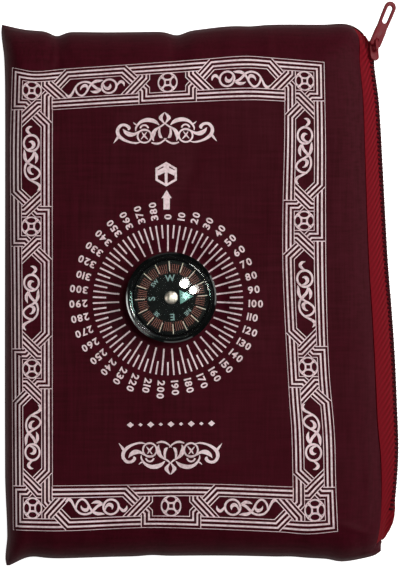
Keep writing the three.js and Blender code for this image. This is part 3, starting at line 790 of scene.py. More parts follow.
def lens_profile(steps=14):
    """Profile of the lens: a flat rim, and an outer and an inner dome, each a sphere's arc of a given
    rise."""
    c = LENS

    def dome(radius, rise, base):
        sphere = (radius**2 + rise**2) / (2 * rise)
        r = np.linspace(radius, 0, steps + 1)
        return np.column_stack([r, base + rise - sphere + np.sqrt(sphere**2 - r**2)])

    outer = dome(c["radius"], c["rise"], c["seat"] + c["rim"])
    inner = dome(c["inner_radius"], c["inner_rise"], c["seat"])
    return np.concatenate([inner[::-1], [[c["radius"], c["seat"]]], outer])


# Screen print. The border is drawn in units of a 39th of its band's width and then laid on the face by the
# eight lines below, which are read at the seams' height; the face lies nearer to the camera, hence
# FACE_SCALE.
FACE_SCALE = 0.993
BAND = 39.0
DRAWN_WIDTH = 300.0
DRAWN_HEIGHT = 443.0
ACROSS_LINES = (
    {"y": (-72.0, -5.0, 17.0, 39.0, 50.0, 63.0), "x": (-54.7, -55.15, -55.4, -55.5, -55.3, -54.9)},
    {"y": (-59.0, 51.0), "x": (-43.1, -43.1)},
    {"y": (-59.0, -43.0, -33.0, 2.0, 20.0, 41.0, 53.0), "x": (27.4, 27.0, 26.3, 24.5, 24.4, 24.9, 25.0)},
    {
        "y": (-72.6, -59.0, -44.1, -25.3, -1.9, 20.0, 41.0, 64.8),
        "x": (40.5, 39.9, 39.5, 37.9, 37.1, 36.9, 36.9, 36.5),
    },
)
ALONG_LINES = (
    {
        "x": (-54.7, -39.7, -16.3, 0.1, 23.6, 31.8, 40.6),
        "y": (-72.3, -72.5, -71.5, -71.8, -72.8, -73.4, -72.6),
    },
    {"x": (-43.1, -19.5, 0.1, 27.4), "y": (-59.3, -59.0, -58.7, -59.6)},
    {"x": (-43.1, -18.0, 0.1, 15.1, 25.1), "y": (50.9, 52.4, 53.3, 53.8, 53.4)},
    {
        "x": (-54.9, -48.5, -39.7, -21.8, 0.1, 13.3, 20.9, 36.5),
        "y": (63.3, 62.1, 62.8, 64.0, 65.6, 66.6, 66.1, 64.8),
    },
)
# Where the search for a point's place on the plan begins, and how many times it goes over both lines
PLAN_BOX = ((-55.0, 38.0), (-72.0, 64.0))
PLAN_ROUNDS = 5

# Levels and widths of the straps' lines, in the border's units
LEVEL = {"strap": 5.3, "flank": 5.1, "edge": 0.5, "bend": 13.5}
ROSETTE = {
    "ring": 8.95, "line": 1.15, "square": 2.35, "corner": 0.94, "spoke_from": 2.82, "spoke": 1.8,
    "petal_at": 5.75, "petal_x": 2.75, "petal_y": 4.3, "petal_line": 0.6,
}
LINE = {"bold": 1.65, "flank": 0.85, "thin": 0.65, "frame": 0.5, "gap": 3.9, "spacing": 4.0}
MITRE_LIMIT = 0.4
CORNER_BOX = 14.2
MIDDLE_BOX = 22.3
SIDE_ROSETTES = (0.3285, 0.6705)
MIDDLE_ROSETTES = (0.497, 0.495)

# Dial, arrow and sign, in millimetres
DIAL = {
    "x": -9.17, "y": -4.84, "count": 39, "step": 10, "outer": 21.85, "long": 14.2, "short": 18.0,
    "width": 0.46, "spacing": 1.5, "label": 23.45, "digit_height": 2.15, "digit_width": 1.5, "gap": 0.37,
    "bold": 0.03,
}
ARROW = {"x": -9.55, "tip": 27.1, "head": 2.3, "head_width": 2.95, "tail": 5.6, "width": 1.85, "point": 0.05}
SIGN = {
    "x": -9.68, "y": 31.75, "radius": 3.2, "line": 0.66, "edge": 0.8, "roof": 1.2,
    "belt": ((-2.6, 0.25), (0, 1.5), (2.6, 0.25)), "belt_width": 1.45,
}
LOZENGES = {
    "x": -8.3, "y": -40.9, "count": 9, "pitch": 2.95, "long": 1.0, "high": 0.85, "slope": 0.02,
    "sizes": (1.0, 0.62), "point": 0.04,
}

# Ornaments: the middle of each, its height as a share of the drawn one (negative is upside down) and its
# slope
ORNAMENT_HEAD = {"x": -9.95, "y": 40.5, "tall": 0.955, "slope": 0.02}
ORNAMENT_FOOT = {"x": -8.45, "y": -45.85, "tall": -1, "slope": 0.0}

# Half of the ornament over its middle line, as strokes of x, y and width in millimetres
ORNAMENT_STROKES = (
    ((0.15, 6.35, 0.3), (0.85, 7.35, 0.75), (1.15, 8.0, 1.15), (0.8, 8.75, 0.75), (0.08, 9.65, 0.2)),
    ((-0.15, 6.5, 0.35), (0.9, 5.6, 0.5), (1.9, 5.0, 0.55), (2.9, 4.2, 0.95), (3.5, 3.0, 1.3),
     (3.6, 1.9, 0.8), (3.3, 1.0, 0.15)),
    ((1.4, 5.2, 0.2), (1.65, 4.2, 0.6), (1.6, 3.1, 0.75), (1.3, 2.3, 0.85), (0.8, 1.9, 0.2)),
    ((-0.35, 1.8, 0.25), (0.5, 1.0, 0.45), (1.6, 0.35, 0.55), (2.8, 0.2, 0.6), (4.0, 0.55, 0.35)),
    ((1.6, 5.8, 0.2), (2.6, 6.75, 0.95), (3.8, 7.3, 1.25), (5.4, 7.45, 1.15), (6.9, 6.95, 0.85),
     (7.9, 6.0, 0.6), (8.45, 5.0, 0.5), (8.5, 4.1, 0.2)),
    ((7.9, 5.9, 0.35), (8.6, 6.25, 0.4), (9.2, 6.8, 0.1)),
    ((3.9, 3.3, 0.2), (4.9, 4.15, 0.45), (6.2, 4.4, 0.5), (7.6, 3.9, 0.5), (8.9, 3.2, 0.85),
     (10.2, 3.15, 1.35), (11.4, 3.8, 1.05), (12.2, 4.85, 0.12)),
    ((7.2, 0.75, 0.2), (8.6, 0.5, 0.5), (10.4, 0.85, 0.6), (12.2, 1.7, 0.85), (13.5, 3.0, 1.05),
     (13.75, 4.6, 0.95), (12.8, 5.9, 0.85), (11.4, 6.0, 0.8), (10.45, 5.2, 0.95), (10.65, 4.5, 0.4)),
    ((13.3, 2.9, 0.9), (14.1, 1.8, 0.65), (15.0, 0.6, 0.1)),
    ((5.0, 1.5, 0.2), (5.9, 2.5, 0.55), (6.7, 3.7, 0.2)),
    ((7.0, 1.6, 0.2), (6.2, 2.6, 0.45), (5.3, 3.8, 0.2)),
)
ORNAMENT_RINGS = ((6.0, 2.55, 2.0, 0.5, 0, 360), (6.0, 4.75, 1.15, 0.5, 10, 170))

# Scrolls: drawn units to the millimetre along and across each band, and how the scroll's x and y axes lie in
# each cartouche, band by band
SCROLL = {
    "size": ((3.25, 2.95), (3.3, 2.95), (3.6, 3.1), (3.6, 3.1)),
    "axes": (
        (((1, 0), (0, 1)), ((-1, 0), (0, 1))),
        (((1, 0), (0, -1)), ((-1, 0), (0, -1))),
        (((0, -1), (-1, 0)), ((0, 1), (1, 0)), ((0, 1), (-1, 0))),
        (((0, -1), (1, 0)), ((0, 1), (-1, 0)), ((0, 1), (1, 0))),
    ),
}

# A cartouche's scroll about its middle, as strokes of x, y and width in millimetres: a tail that runs into
# an open loop, a knot, and a closed ring with a hook on its far side
SCROLL_STROKES = (
    ((-8.8, -1.8, 0.15), (-8.35, -2.3, 0.5), (-7.7, -2.6, 0.95), (-7.0, -1.95, 0.75), (-6.35, -0.6, 0.55),
     (-5.7, 0.6, 0.55), (-4.6, 1.6, 0.58), (-3.05, 1.9, 0.6), (-1.7, 1.5, 0.65), (-0.75, 0.6, 0.75),
     (0.35, -0.45, 0.8), (1.6, -1.0, 0.7)),
    ((-5.75, 0.4, 0.3), (-5.7, -0.85, 0.55), (-5.1, -2.0, 0.6), (-4.2, -2.6, 0.6), (-3.3, -2.25, 0.6),
     (-2.5, -1.2, 0.6), (-1.85, 0.1, 0.6), (-1.0, 1.25, 0.7), (0.1, 1.85, 0.95), (1.3, 1.95, 0.75),
     (2.25, 2.1, 0.1)),
    ((-2.4, -0.6, 0.35), (-2.45, 0.15, 0.65), (-2.95, 0.65, 1.05), (-3.7, 0.5, 0.85), (-4.25, -0.1, 0.5),
     (-4.4, -0.75, 0.1)),
    ((-1.5, -1.2, 0.1), (-0.6, -1.6, 0.75), (0.5, -1.6, 0.95), (1.6, -1.05, 0.5)),
    ((2.3, 0.9, 0.3), (2.6, -0.1, 0.6), (3.3, -0.75, 0.95), (4.0, -0.6, 1.05), (4.35, 0.0, 0.7),
     (4.3, 0.75, 0.1)),
    ((6.0, -0.5, 0.4), (6.6, 0.5, 0.6), (7.5, 1.25, 0.9), (8.25, 0.65, 0.7), (8.45, -0.3, 0.12)),
)
SCROLL_RING = {"x": 4.0, "y": -0.05, "radius_x": 2.15, "radius_y": 2.25, "width": 0.6}


def drawn_to_plan(points):
    """Lays drawn border points on the plan: x is read between the four lines that run along it at the
    point's y, and y between the four that run across it at the point's x, a few times over until both
    agree."""

    def between(drawn, levels, lines):
        i = np.clip(np.searchsorted(levels, drawn, side="right") - 1, 0, 2)
        rows = np.arange(len(drawn))
        share = (drawn - levels[i]) / (levels[i + 1] - levels[i])
        return lerp(lines[rows, i], lines[rows, i + 1], share)

    x_levels = np.array([0, BAND, DRAWN_WIDTH - BAND, DRAWN_WIDTH])
    y_levels = np.array([0, BAND, DRAWN_HEIGHT - BAND, DRAWN_HEIGHT])
    x = lerp(*PLAN_BOX[0], points[:, 0] / DRAWN_WIDTH)
    y = lerp(*PLAN_BOX[1], points[:, 1] / DRAWN_HEIGHT)
    for _ in range(PLAN_ROUNDS):
        lines = np.stack([read_table(t, "y", "x", y) for t in ACROSS_LINES], axis=1)
        x_next = between(points[:, 0], x_levels, lines)
        lines = np.stack([read_table(t, "x", "y", x) for t in ALONG_LINES], axis=1)
        y = between(points[:, 1], y_levels, lines)
        x = x_next
    return np.stack([x, y], axis=1) * FACE_SCALE


def refined(path, spacing):
    """A path with points added along its straight runs, no further apart than the spacing."""
    path = np.asarray(path, float)
    parts = []
    for a, b in zip(path[:-1], path[1:], strict=True):
        count = max(1, int(math.ceil(np.linalg.norm((b - a)[:2]) / spacing)))
        parts.append(a + (b - a) * (np.arange(count) / count)[:, None])
    return np.concatenate([*parts, path[-1:]])


def softened(path, steps=6):
    """A smooth curve through the points of a stroke, each span a cubic whose slopes are taken from the
    neighbouring points."""
    path = np.asarray(path, float)
    padded = np.concatenate([2 * path[:1] - path[1:2], path, 2 * path[-1:] - path[-2:-1]])
    t = (np.arange(steps) / steps)[None, :, None]
    p0, p1, p2, p3 = (padded[i : i + len(path) - 1, None, :] for i in range(4))
    bend = 2 * p0 - 5 * p1 + 4 * p2 - p3 + t * (3 * p1 - p0 - 3 * p2 + p3)
    spans = p1 + 0.5 * t * (p2 - p0 + t * bend)
    return np.concatenate([spans.reshape(-1, path.shape[1]), path[-1:]])


def stroke(path, width=None, closed=False):
    """Left and right edges of a stroke: its points moved half the width to each side, along the mitre at a
    bend. The width is one number, or the path's third column."""
    path = np.asarray(path, float)
    half = (path[:, 2] if width is None else np.full(len(path), float(width)))[:, None] / 2
    points = path[:, :2]
    if closed:
        step = np.roll(points, -1, axis=0) - points
        after = step / np.linalg.norm(step, axis=1)[:, None]
        before = np.roll(after, 1, axis=0)
    else:
        step = np.diff(points, axis=0)
        step /= np.linalg.norm(step, axis=1)[:, None]
        before, after = np.vstack([step[:1], step]), np.vstack([step, step[-1:]])
    middle = before + after
    middle /= np.linalg.norm(middle, axis=1)[:, None]
    cosine = np.clip(np.sum(middle * after, axis=1), MITRE_LIMIT, 1)
    normal = np.stack([-middle[:, 1], middle[:, 0]], axis=1) / cosine[:, None]
    return points + normal * half, points - normal * half, closed


def side_line(path, offset):
    """A path moved sideways by an offset, to its left where positive."""
    return stroke(path, 2 * offset)[0]


def laid_film(strokes, place, film, ground=face_height):
    """Closed film of ink over the face: each stroke's edges are placed on the plan, and its section is a
    thin box from a little inside the cloth to the film's height over it."""
    shells = []
    for left, right, closed in strokes:
        edges = np.concatenate([place(left), place(right)])
        height = ground(edges[:, 0], edges[:, 1])
        top = np.column_stack([edges, height + film["over"]])
        low = np.column_stack([edges, height - film["under"]])
        n = len(left)
        rings = np.stack([top[:n], top[n:], low[n:], low[:n]], axis=1)
        shells.append(loft(rings, closed))
    return join_shells(shells)


def rails(path, apart, width, slant_start=0, slant_end=0):
    """Two lines beside a path. A slant of 1 or -1 cuts that end's lines at 45 degrees."""
    lines = []
    for offset in (-apart, apart):
        line = side_line(path, offset)
        line[0] += unit(line[1] - line[0]) * slant_start * offset
        line[-1] += unit(line[-1] - line[-2]) * slant_end * offset
        lines.append((line, width))
    return lines


def strap(path, slant_start=0, slant_end=0):
    """The two bold lines of a strap."""
    return rails(path, LINE["gap"] / 2, LINE["bold"], slant_start, slant_end)


def crossing_of(box):
    """Where the diving strap passes under the short one, and the step along it to that strap's flank."""
    reach = LEVEL["flank"] / math.sqrt(2)
    return np.array([box + BAND / 2 - LEVEL["bend"], BAND / 2]), np.array([-reach, reach])


def half_module(box, end, corner, turned):
    """Lines on one side of a rosette, in the band's directions: s along it from the rosette to the middle
    of the cartouche, and t across it from its outer edge. One strap dives at 45 degrees from the outer
    level to the inner one and turns round the rosette's box; a short strap crosses over it; straight straps
    fill the other levels. Every strap has a thin flank on both sides, which also outlines the ground
    between the straps. Turned, it is mirrored across the band. Round a corner's rosette, corner_straps has
    the straps that are missing here."""
    low, high, flank = LEVEL["strap"], BAND - LEVEL["strap"], LEVEL["flank"]
    near, far = low + flank, high - flank
    bend, dive = LEVEL["bend"], BAND - LEVEL["bend"]
    (cross, middle), reach = crossing_of(box)
    tip = flank * math.sqrt(2)
    stop = box + dive - tip
    over = [(box, near), (box, bend), (box + far - bend, far)]
    lines = strap([(cross - reach[0], middle - reach[1]), (box + dive - low, low), (end, low)])
    lines += strap(over, 0, -1)
    lines += strap([(box + flank, high), (end, high)])
    lines += rails(over, flank, LINE["flank"], 0, -1)
    if not corner:
        lines += strap([(0, high), (box, high), (box, dive), (cross + reach[0], middle + reach[1])])
        lines += strap([(0, low), (stop - low, low)], 0, -1)

    side, swing = box - flank, flank * (math.sqrt(2) - 1)
    inside = (middle - near) * (1 if turned else -1) if corner else 0
    box_side = [(cross - tip, middle), (side, dive - swing), (side, far)]
    if turned or not corner:
        box_side.append((-inside, far))
    rise = middle - tip - LEVEL["edge"]
    flanks = (
        [(cross, middle - tip), (cross + rise, LEVEL["edge"])],
        [(cross, middle + tip), (box + flank, dive + swing), (box + flank, BAND - LEVEL["edge"])],
        [(cross + tip, middle), (box + dive + tip - near, near)],
        box_side[:2],
    )
    thin = (
        [(inside, near), (stop - near, near)],
        [(box + flank, far), (end, far)],
        [(box + dive + tip - near, near), (end, near)],
        box_side[1:],
    )
    lines += [(np.array(path, float), LINE["flank"]) for path in flanks]
    lines += [(np.array(path, float), LINE["thin"]) for path in thin]
    if turned:
        lines = [(line * [1, -1] + [0, BAND], width) for line, width in lines]
    return lines


def corner_straps():
    """The two straps that turn a corner, in distances from the border's side line and its end line."""
    low, high, dive = LEVEL["strap"], BAND - LEVEL["strap"], BAND - LEVEL["bend"]
    middle = BAND / 2
    stop = middle + CORNER_BOX + dive - LEVEL["flank"] * math.sqrt(2) - low
    cross, reach = crossing_of(CORNER_BOX)
    end_band = cross + reach + [middle, 0]
    side_band = np.array([BAND - cross[1] - reach[1], middle + cross[0] + reach[0]])
    lines = strap([(stop, low), (low, low), (low, high), (LEVEL["bend"], high), side_band], -1, 0)
    lines += strap([end_band, (high, dive), (high, stop)], 0, -1)
    return lines


def band_frames():
    """The head's, foot's, left and right bands: how (along, t) lies in the drawing, and the rosettes in
    order as place, box and whether the module before it and after it is mirrored across the band."""
    w, h, half = DRAWN_WIDTH, DRAWN_HEIGHT, BAND / 2
    first, second = (h - half - share * (h - BAND) for share in SIDE_ROSETTES)
    side = (
        (half, CORNER_BOX, None, True),
        (second, CORNER_BOX, False, True),
        (first, CORNER_BOX, True, False),
        (h - half, CORNER_BOX, True, None),
    )
    head, foot = (
        (
            (half, CORNER_BOX, None, False),
            (w * share, MIDDLE_BOX, turned, turned),
            (w - half, CORNER_BOX, False, None),
        )
        for share, turned in zip(MIDDLE_ROSETTES, (False, True), strict=True)
    )
    return (
        (lambda p: np.column_stack([p[:, 0], h - p[:, 1]]), head),
        (lambda p: p.copy(), foot),
        (lambda p: p[:, ::-1].copy(), side),
        (lambda p: np.column_stack([w - p[:, 1], p[:, 0]]), side),
    )


def cartouches(rosettes):
    """Middle of each cartouche of a band, with the rosettes on both sides of it."""
    for before, after in zip(rosettes[:-1], rosettes[1:], strict=True):
        yield (before[0] + before[1] + after[0] - after[1]) / 2, before, after


def border_lines():
    """Every straight-edged line of the border, as drawn paths with widths."""
    lines = []
    for place, rosettes in band_frames():
        last = len(rosettes) - 1
        for i, (middle, before, after) in enumerate(cartouches(rosettes)):
            for rosette, direction, turned in ((before, 1, before[3]), (after, -1, after[2])):
                corner = (i == 0 and direction > 0) or (i == last - 1 and direction < 0)
                end = abs(middle - rosette[0])
                for line, width in half_module(rosette[1], end, corner, turned):
                    lines.append((place(line * [direction, 1] + [rosette[0], 0]), width))
    w, h = DRAWN_WIDTH, DRAWN_HEIGHT
    for line, width in corner_straps():
        for flip_x, flip_y in ((0, 0), (1, 0), (0, 1), (1, 1)):
            lines.append((np.abs(line - [flip_x * w, flip_y * h]), width))
    for near in (0, BAND):
        far_x, far_y = w - near, h - near
        corners = [(near, near), (far_x, near), (far_x, far_y), (near, far_y), (near, near)]
        lines.append((np.array(corners, float), LINE["frame"]))
    return lines


def ellipse(centre, radius_x, radius_y, steps=20):
    a = np.linspace(0, 2 * math.pi, steps, endpoint=False)
    return np.column_stack([centre[0] + radius_x * np.cos(a), centre[1] + radius_y * np.sin(a)])


def rosette_strokes():
    """One rosette about its middle: a ring, a small square ring, four petals and the spokes between them."""
    r = ROSETTE
    strokes = [stroke(ellipse((0, 0), r["ring"], r["ring"], 32), r["line"], True)]
    strokes.append(stroke(rounded_rectangle(r["square"], r["square"], r["corner"]), r["line"], True))
    for turn in (0, 90, 180, 270):
        c, s = out_at(turn)
        petal = ellipse((r["petal_at"], 0), r["petal_x"], r["petal_y"])
        strokes.append(stroke(petal @ [[c, s], [-s, c]], r["petal_line"], True))
        out = out_at(45 + turn)
        strokes.append(stroke([out * r["spoke_from"], out * r["ring"]], r["spoke"]))
    return strokes


def scroll_strokes():
    """One cartouche's scroll about its middle."""
    r = SCROLL_RING
    ring = ellipse((r["x"], r["y"]), r["radius_x"], r["radius_y"], 28)
    return [*(stroke(softened(path)) for path in SCROLL_STROKES), stroke(ring, r["width"], True)]


def moved(strokes, move):
    """Strokes with their edges moved by a function."""
    return [(move(left), move(right), closed) for left, right, closed in strokes]


def ornament_strokes(place):
    """One ornament on the plan: half of its strokes and rings, and their mirror image over its middle
    line."""
    strokes = []
    for sign in (1, -1):
        for path in ORNAMENT_STROKES:
            strokes.append(stroke(softened(path) * [sign, 1, 1]))
        for x, y, radius, width, start, end in ORNAMENT_RINGS:
            ring = arc((x, y), radius, start, end, 24) * [sign, 1]
            whole = end - start == 360
            strokes.append(stroke(ring[:-1] if whole else ring, width, whole))
    slope = place["slope"]
    turn = np.array([[1, slope], [-slope, 1]])
    return moved(strokes, lambda p: (p * [1, place["tall"]]) @ turn + [place["x"], place["y"]])


def sign_strokes():
    """A plain cube seen corner on: its outline, its near edge, and its roof and belt as one solid band,
    with a slot under the roof's line on both sides."""
    s = SIGN
    strokes = [
        stroke([out_at(a) * s["radius"] for a in range(30, 390, 60)], s["line"], True),
        stroke([(0, -s["radius"]), (0, s["roof"])], s["edge"]),
        stroke([(0, s["roof"]), (0, s["radius"])], 2 * s["edge"]),
        stroke(s["belt"], s["belt_width"]),
    ]
    return moved(strokes, lambda p: p + [s["x"], s["y"]])


def arrow_strokes():
    """An arrow that points to the head: a triangle and a short bar."""
    a = ARROW
    tip, neck, tail = a["tip"], a["tip"] - a["head"], a["tip"] - a["tail"]
    head = stroke([(a["x"], neck, a["head_width"]), (a["x"], tip, a["point"])])
    return [head, stroke([(a["x"], tail), (a["x"], neck)], a["width"])]


def lozenge_strokes():
    """A row of small lozenges, a larger and a smaller one by turns."""
    z = LOZENGES
    strokes = []
    for i in range(z["count"]):
        step = i - (z["count"] - 1) / 2
        x, y = z["x"] + step * z["pitch"], z["y"] + step * z["pitch"] * z["slope"]
        size = z["sizes"][i % 2]
        half, high = z["long"] * size, 2 * z["high"] * size
        strokes.append(stroke([(x - half, y, z["point"]), (x, y, high), (x + half, y, z["point"])]))
    return strokes


def dial_tick_strokes():
    """The dial's rays: a long one at each number and a short one halfway to the next."""
    d = DIAL
    strokes = []
    for i in range(2 * d["count"]):
        out = out_at(90 - 180 * i / d["count"])
        inner = d["long"] if i % 2 == 0 else d["short"]
        path = refined([out * inner, out * d["outer"]], d["spacing"])
        strokes.append(stroke(path + [d["x"], d["y"]], d["width"]))
    return strokes


def glyph(text, height, width=None, bold=0.0):
    """Points and faces of a word in the built-in typeface, with its low left corner at the origin and its
    lower and upper faces at heights -1 and 1."""
    curve = bpy.data.curves.new("glyph", "FONT")
    curve.body = text
    curve.extrude = 0.5
    curve.offset = bold
    curve.resolution_u = 4
    points, faces = mesh_of_curve(curve)
    low, high = points.min(axis=0), points.max(axis=0)
    points = points - low
    points[:, 1] *= height / (high[1] - low[1])
    points[:, 0] *= (width or height / (high[1] - low[1]) * (high[0] - low[0])) / (high[0] - low[0])
    points[:, 2] = np.where(points[:, 2] > (high[2] - low[2]) / 2, 1, -1)
    return points, faces


def dial_number_shells():
    """Numbers that read outwards from the dial's middle, each started at one radius, digit after digit."""
    d = DIAL
    widths = dict.fromkeys("0123456789", d["digit_width"]) | {"1": None}
    digits = {digit: glyph(digit, d["digit_height"], width, d["bold"]) for digit, width in widths.items()}
    shells = []
    for i in range(d["count"]):
        out = out_at(90 - 360 * i / d["count"])
        up = np.array([-out[1], out[0]])
        start = d["label"]
        for digit in str(i * d["step"]):
            points, faces = digits[digit]
            along = start + points[:, :1]
            start += points[:, 0].max() + d["gap"]
            plan = along * out + (points[:, 1:2] - d["digit_height"] / 2) * up + [d["x"], d["y"]]
            shells.append((np.column_stack([plan, points[:, 2]]), faces))
    return shells


def laid_shells(shells, film, ground=face_height):
    """Flat shells of ink laid over the face: height 1 goes to the film's top and -1 to its underside."""
    points, faces = join_shells(shells)
    height = ground(points[:, 0], points[:, 1])
    points[:, 2] = height + np.where(points[:, 2] > 0, film["over"], -film["under"])
    return points, faces


# Finishes. Colours are sRGB hex values, sizes are real ones.
def add_node(tree, kind, inputs=None, **settings):
    """Adds a node with its settings; each named input gets a value, or a link from another node's socket."""
    node = tree.nodes.new("ShaderNode" + kind)
    for name, value in settings.items():
        setattr(node, name, value)
    for name, value in (inputs or {}).items():
        if isinstance(value, bpy.types.NodeSocket):
            tree.links.new(value, node.inputs[name])
        else:
            node.inputs[name].default_value = value
    return node


def new_material(name):
    """An empty material and its node tree."""
    material = bpy.data.materials.new(name)
    material.use_nodes = True
    material.node_tree.nodes.clear()
    return material, material.node_tree


def ranged(value, low, high, at_low, at_high):
    """Inputs that turn a value, read over a range, into one between two others."""
    return {"Value": value, "From Min": low, "From Max": high, "To Min": at_low, "To Max": at_high}


def finish_material(tree, colour, rough, relief=None, shine=None):
    """Ends a material with one principled shader. Rough is a value, the range it is read over and the
    roughness at both ends; relief is a height, the strength of its bump and its depth in millimetres; shine
    holds other inputs of the shader."""
    roughness = add_node(tree, "MapRange", ranged(*rough))
    inputs = {"Base Color": colour, "Roughness": roughness.outputs["Result"], **(shine or {})}
    if relief:
        height, strength, depth = relief
        bump = add_node(tree, "Bump", {"Height": height, "Strength": strength, "Distance": depth * MM})
        inputs["Normal"] = bump.outputs["Normal"]
    shader = add_node(tree, "BsdfPrincipled", inputs)
    add_node(tree, "OutputMaterial", {"Surface": shader.outputs["BSDF"]})


def stretched_noise(tree, per_mm, detail=2.0):
    """Noise on the piece's own coordinates, with how many blotches to the millimetre it has on each axis."""
    where = add_node(tree, "TexCoord").outputs["Object"]
    scale = tuple(count / MM for count in per_mm)
    mapping = add_node(tree, "Mapping", {"Vector": where, "Scale": scale})
    noise = add_node(tree, "TexNoise", {"Vector": mapping.outputs["Vector"], "Scale": 1.0, "Detail": detail})
    return noise.outputs["Fac"]


def tinted(tree, reading, a, b, most=1):
    """Colour a where a value is at the low end of its range, going over to b at the high end, or to the most
    that b may take. A reading is the value with both ends of its range."""
    share = add_node(tree, "MapRange", ranged(*reading, 0, most))
    a, b = (c if isinstance(c, bpy.types.NodeSocket) else (*c, 1) for c in (a, b))
    inputs = {"Factor": share.outputs["Result"], 6: a, 7: b}
    return add_node(tree, "Mix", inputs, data_type="RGBA").outputs[2]


def mottled_material(name, per_mm, detail, spread, dark, light, rough, relief=None, shine=None, most=1):
    """A material whose colour and roughness follow one noise: the colour over a spread of its values, and
    the roughness as its range and both ends. Relief is the strength and depth of a bump from the same
    noise."""
    material, tree = new_material(name)
    noise = stretched_noise(tree, per_mm, detail)
    colour = tinted(tree, (noise, *spread), dark, light, most)
    finish_material(tree, colour, (noise, *rough), relief and (noise, *relief), shine)
    return material


def wave(tree, value, cycles, start=0.0):
    """Waves along a value: the sine of its cycles and a start, which is counted in cycles too."""
    turns = add_node(tree, "Math", {0: value, 1: cycles, 2: start}, operation="MULTIPLY_ADD").outputs[0]
    angle = add_node(tree, "Math", {0: turns, 1: 2 * math.pi}, operation="MULTIPLY").outputs[0]
    return add_node(tree, "Math", {0: angle}, operation="SINE").outputs[0]


def weave_height(tree, pitch):
    """Plain weave: waves across times waves along, a pitch in metres apart."""
    where = add_node(tree, "TexCoord").outputs["Object"]
    split = add_node(tree, "SeparateXYZ", {"Vector": where})
    across, along = (wave(tree, split.outputs[axis], 1 / pitch) for axis in "XY")
    return add_node(tree, "Math", {0: across, 1: along}, operation="MULTIPLY").outputs[0]


def cloth_material(look):
    """Polyester taffeta: closely woven filament yarn, dyed dark wine. It looks smooth and a little silky,
    with faint slubs that run lengthwise. Real threads are about 0.15 mm apart; the weave is drawn coarser,
    to show."""
    material, tree = new_material("polyester_taffeta")
    slubs = stretched_noise(tree, (1.6, 0.07, 1.6), 3.0)
    picks = stretched_noise(tree, (0.08, 1.3, 1.3))
    clouds = stretched_noise(tree, (0.03, 0.022, 0.03))
    threads = add_node(tree, "Math", {0: slubs, 1: picks}, operation="ADD").outputs[0]
    yarn = tinted(tree, (threads, 0.75, 1.25), look.dark, look.light)
    colour = tinted(tree, (clouds, 0.35, 0.65), yarn, look.faded, 0.35)
    heights = {0: weave_height(tree, look.weave), 1: 0.3, 2: threads}
    relief = add_node(tree, "Math", heights, operation="MULTIPLY_ADD").outputs[0]
    rough = (threads, 0.7, 1.3, 0.62, 0.5)
    finish_material(tree, colour, rough, (relief, 0.22, 0.05), {"Specular IOR Level": 0.05})
    return material


def ink_material(look):
    """Plastisol screen ink on cloth: a matt pink-white film, thin enough that the weave and the dark cloth
    show through in specks."""
    material, tree = new_material("screen_print_ink")
    specks = stretched_noise(tree, (1.1, 1.1, 1.1), 3.0)
    clouds = stretched_noise(tree, (0.09, 0.05, 0.09))
    worn = tinted(tree, (specks, 0.36, 0.6), look.worn, look.ink)
    colour = tinted(tree, (clouds, 0.4, 0.65), worn, look.bright, 0.6)
    heights = {0: weave_height(tree, look.weave), 1: specks}
    relief = add_node(tree, "Math", heights, operation="ADD").outputs[0]
    rough = (specks, 0.3, 0.7, 0.75, 0.55)
    finish_material(tree, colour, rough, (relief, 0.25, 0.03), {"Specular IOR Level": 0.3})
    return material


def tape_material(look):
    """Woven polyester zip tape with ribs that slant across it. Painted highlights lighten the ribs' crests
    and painted shade darkens their grooves, less towards the foot; painted shade also darkens the half under
    the panel's edge. It reads the piece's own map, which has the share across the tape and the metres along
    it."""
    material, tree = new_material("woven_zip_tape")
    where = add_node(tree, "UVMap", uv_map="tape").outputs["UV"]
    split = add_node(tree, "SeparateXYZ", {"Vector": where})
    across, along = split.outputs["X"], split.outputs["Y"]
    pitch = {0: along, 1: 1 / (RIB["pitch"] * MM)}
    rib = wave(tree, across, RIB["slant"], add_node(tree, "Math", pitch, operation="MULTIPLY").outputs[0])
    # Painted highlight on the ribs' crests and painted shade in their grooves, weaker towards the foot
    crest = add_node(tree, "MapRange", ranged(rib, -0.8, 0.9, 0, 1)).outputs["Result"]
    share = add_node(tree, "MapRange", ranged(along, 0, NOMINAL_LENGTH * MM, 0.45, 1)).outputs["Result"]
    painted_rib_light = add_node(tree, "Math", {0: crest, 1: share}, operation="MULTIPLY").outputs[0]
    threads = stretched_noise(tree, (2.2, 1.4, 2.2), 3.0)
    lit = tinted(tree, (painted_rib_light, 0, 1), look.groove, look.rib)
    # Painted shade over the tape's inner half, beside the panel's turned edge
    shaded = tinted(tree, (across, 0.55, 0.95), lit, look.shade, 0.7)
    colour = tinted(tree, (threads, 0.35, 0.7), shaded, look.groove, 0.35)
    rough = (threads, 0.3, 0.7, 0.8, 0.62)
    finish_material(tree, colour, rough, (threads, 0.4, 0.06), {"Specular IOR Level": 0.06})
    return material


def nylon_material(look):
    """Moulded nylon teeth: dark red, slightly waxy, with small highlights on each crown."""
    return mottled_material(
        "moulded_nylon", (0.9, 0.9, 0.9), 2.0, (0.35, 0.65), look.tooth, look.tooth_light,
        (0.3, 0.7, 0.4, 0.55), None, {"Specular IOR Level": 0.08},
    )


def enamel_material(look):
    """Enamelled zinc casting: a glossy wine-red paint film, dulled by fine scuffs, over a hard metal
    shape."""
    return mottled_material(
        "enamelled_zinc", (1.5, 0.5, 1.5), 4.0, (0.5, 0.75), look.paint, look.paint_worn,
        (0.35, 0.7, 0.28, 0.5), (0.2, 0.05), {"IOR": 1.5, "Specular IOR Level": 0.15}, 0.6,
    )


def plastic_material(look):
    """Injection-moulded ABS: gloss black with faint polishing marks that soften its reflections."""
    return mottled_material(
        "gloss_black_abs", (0.6, 0.6, 0.6), 3.0, (0.4, 0.7), look.case, look.case_light,
        (0.3, 0.7, 0.04, 0.1), None, {"IOR": 1.54, "Specular IOR Level": 0.8},
    )


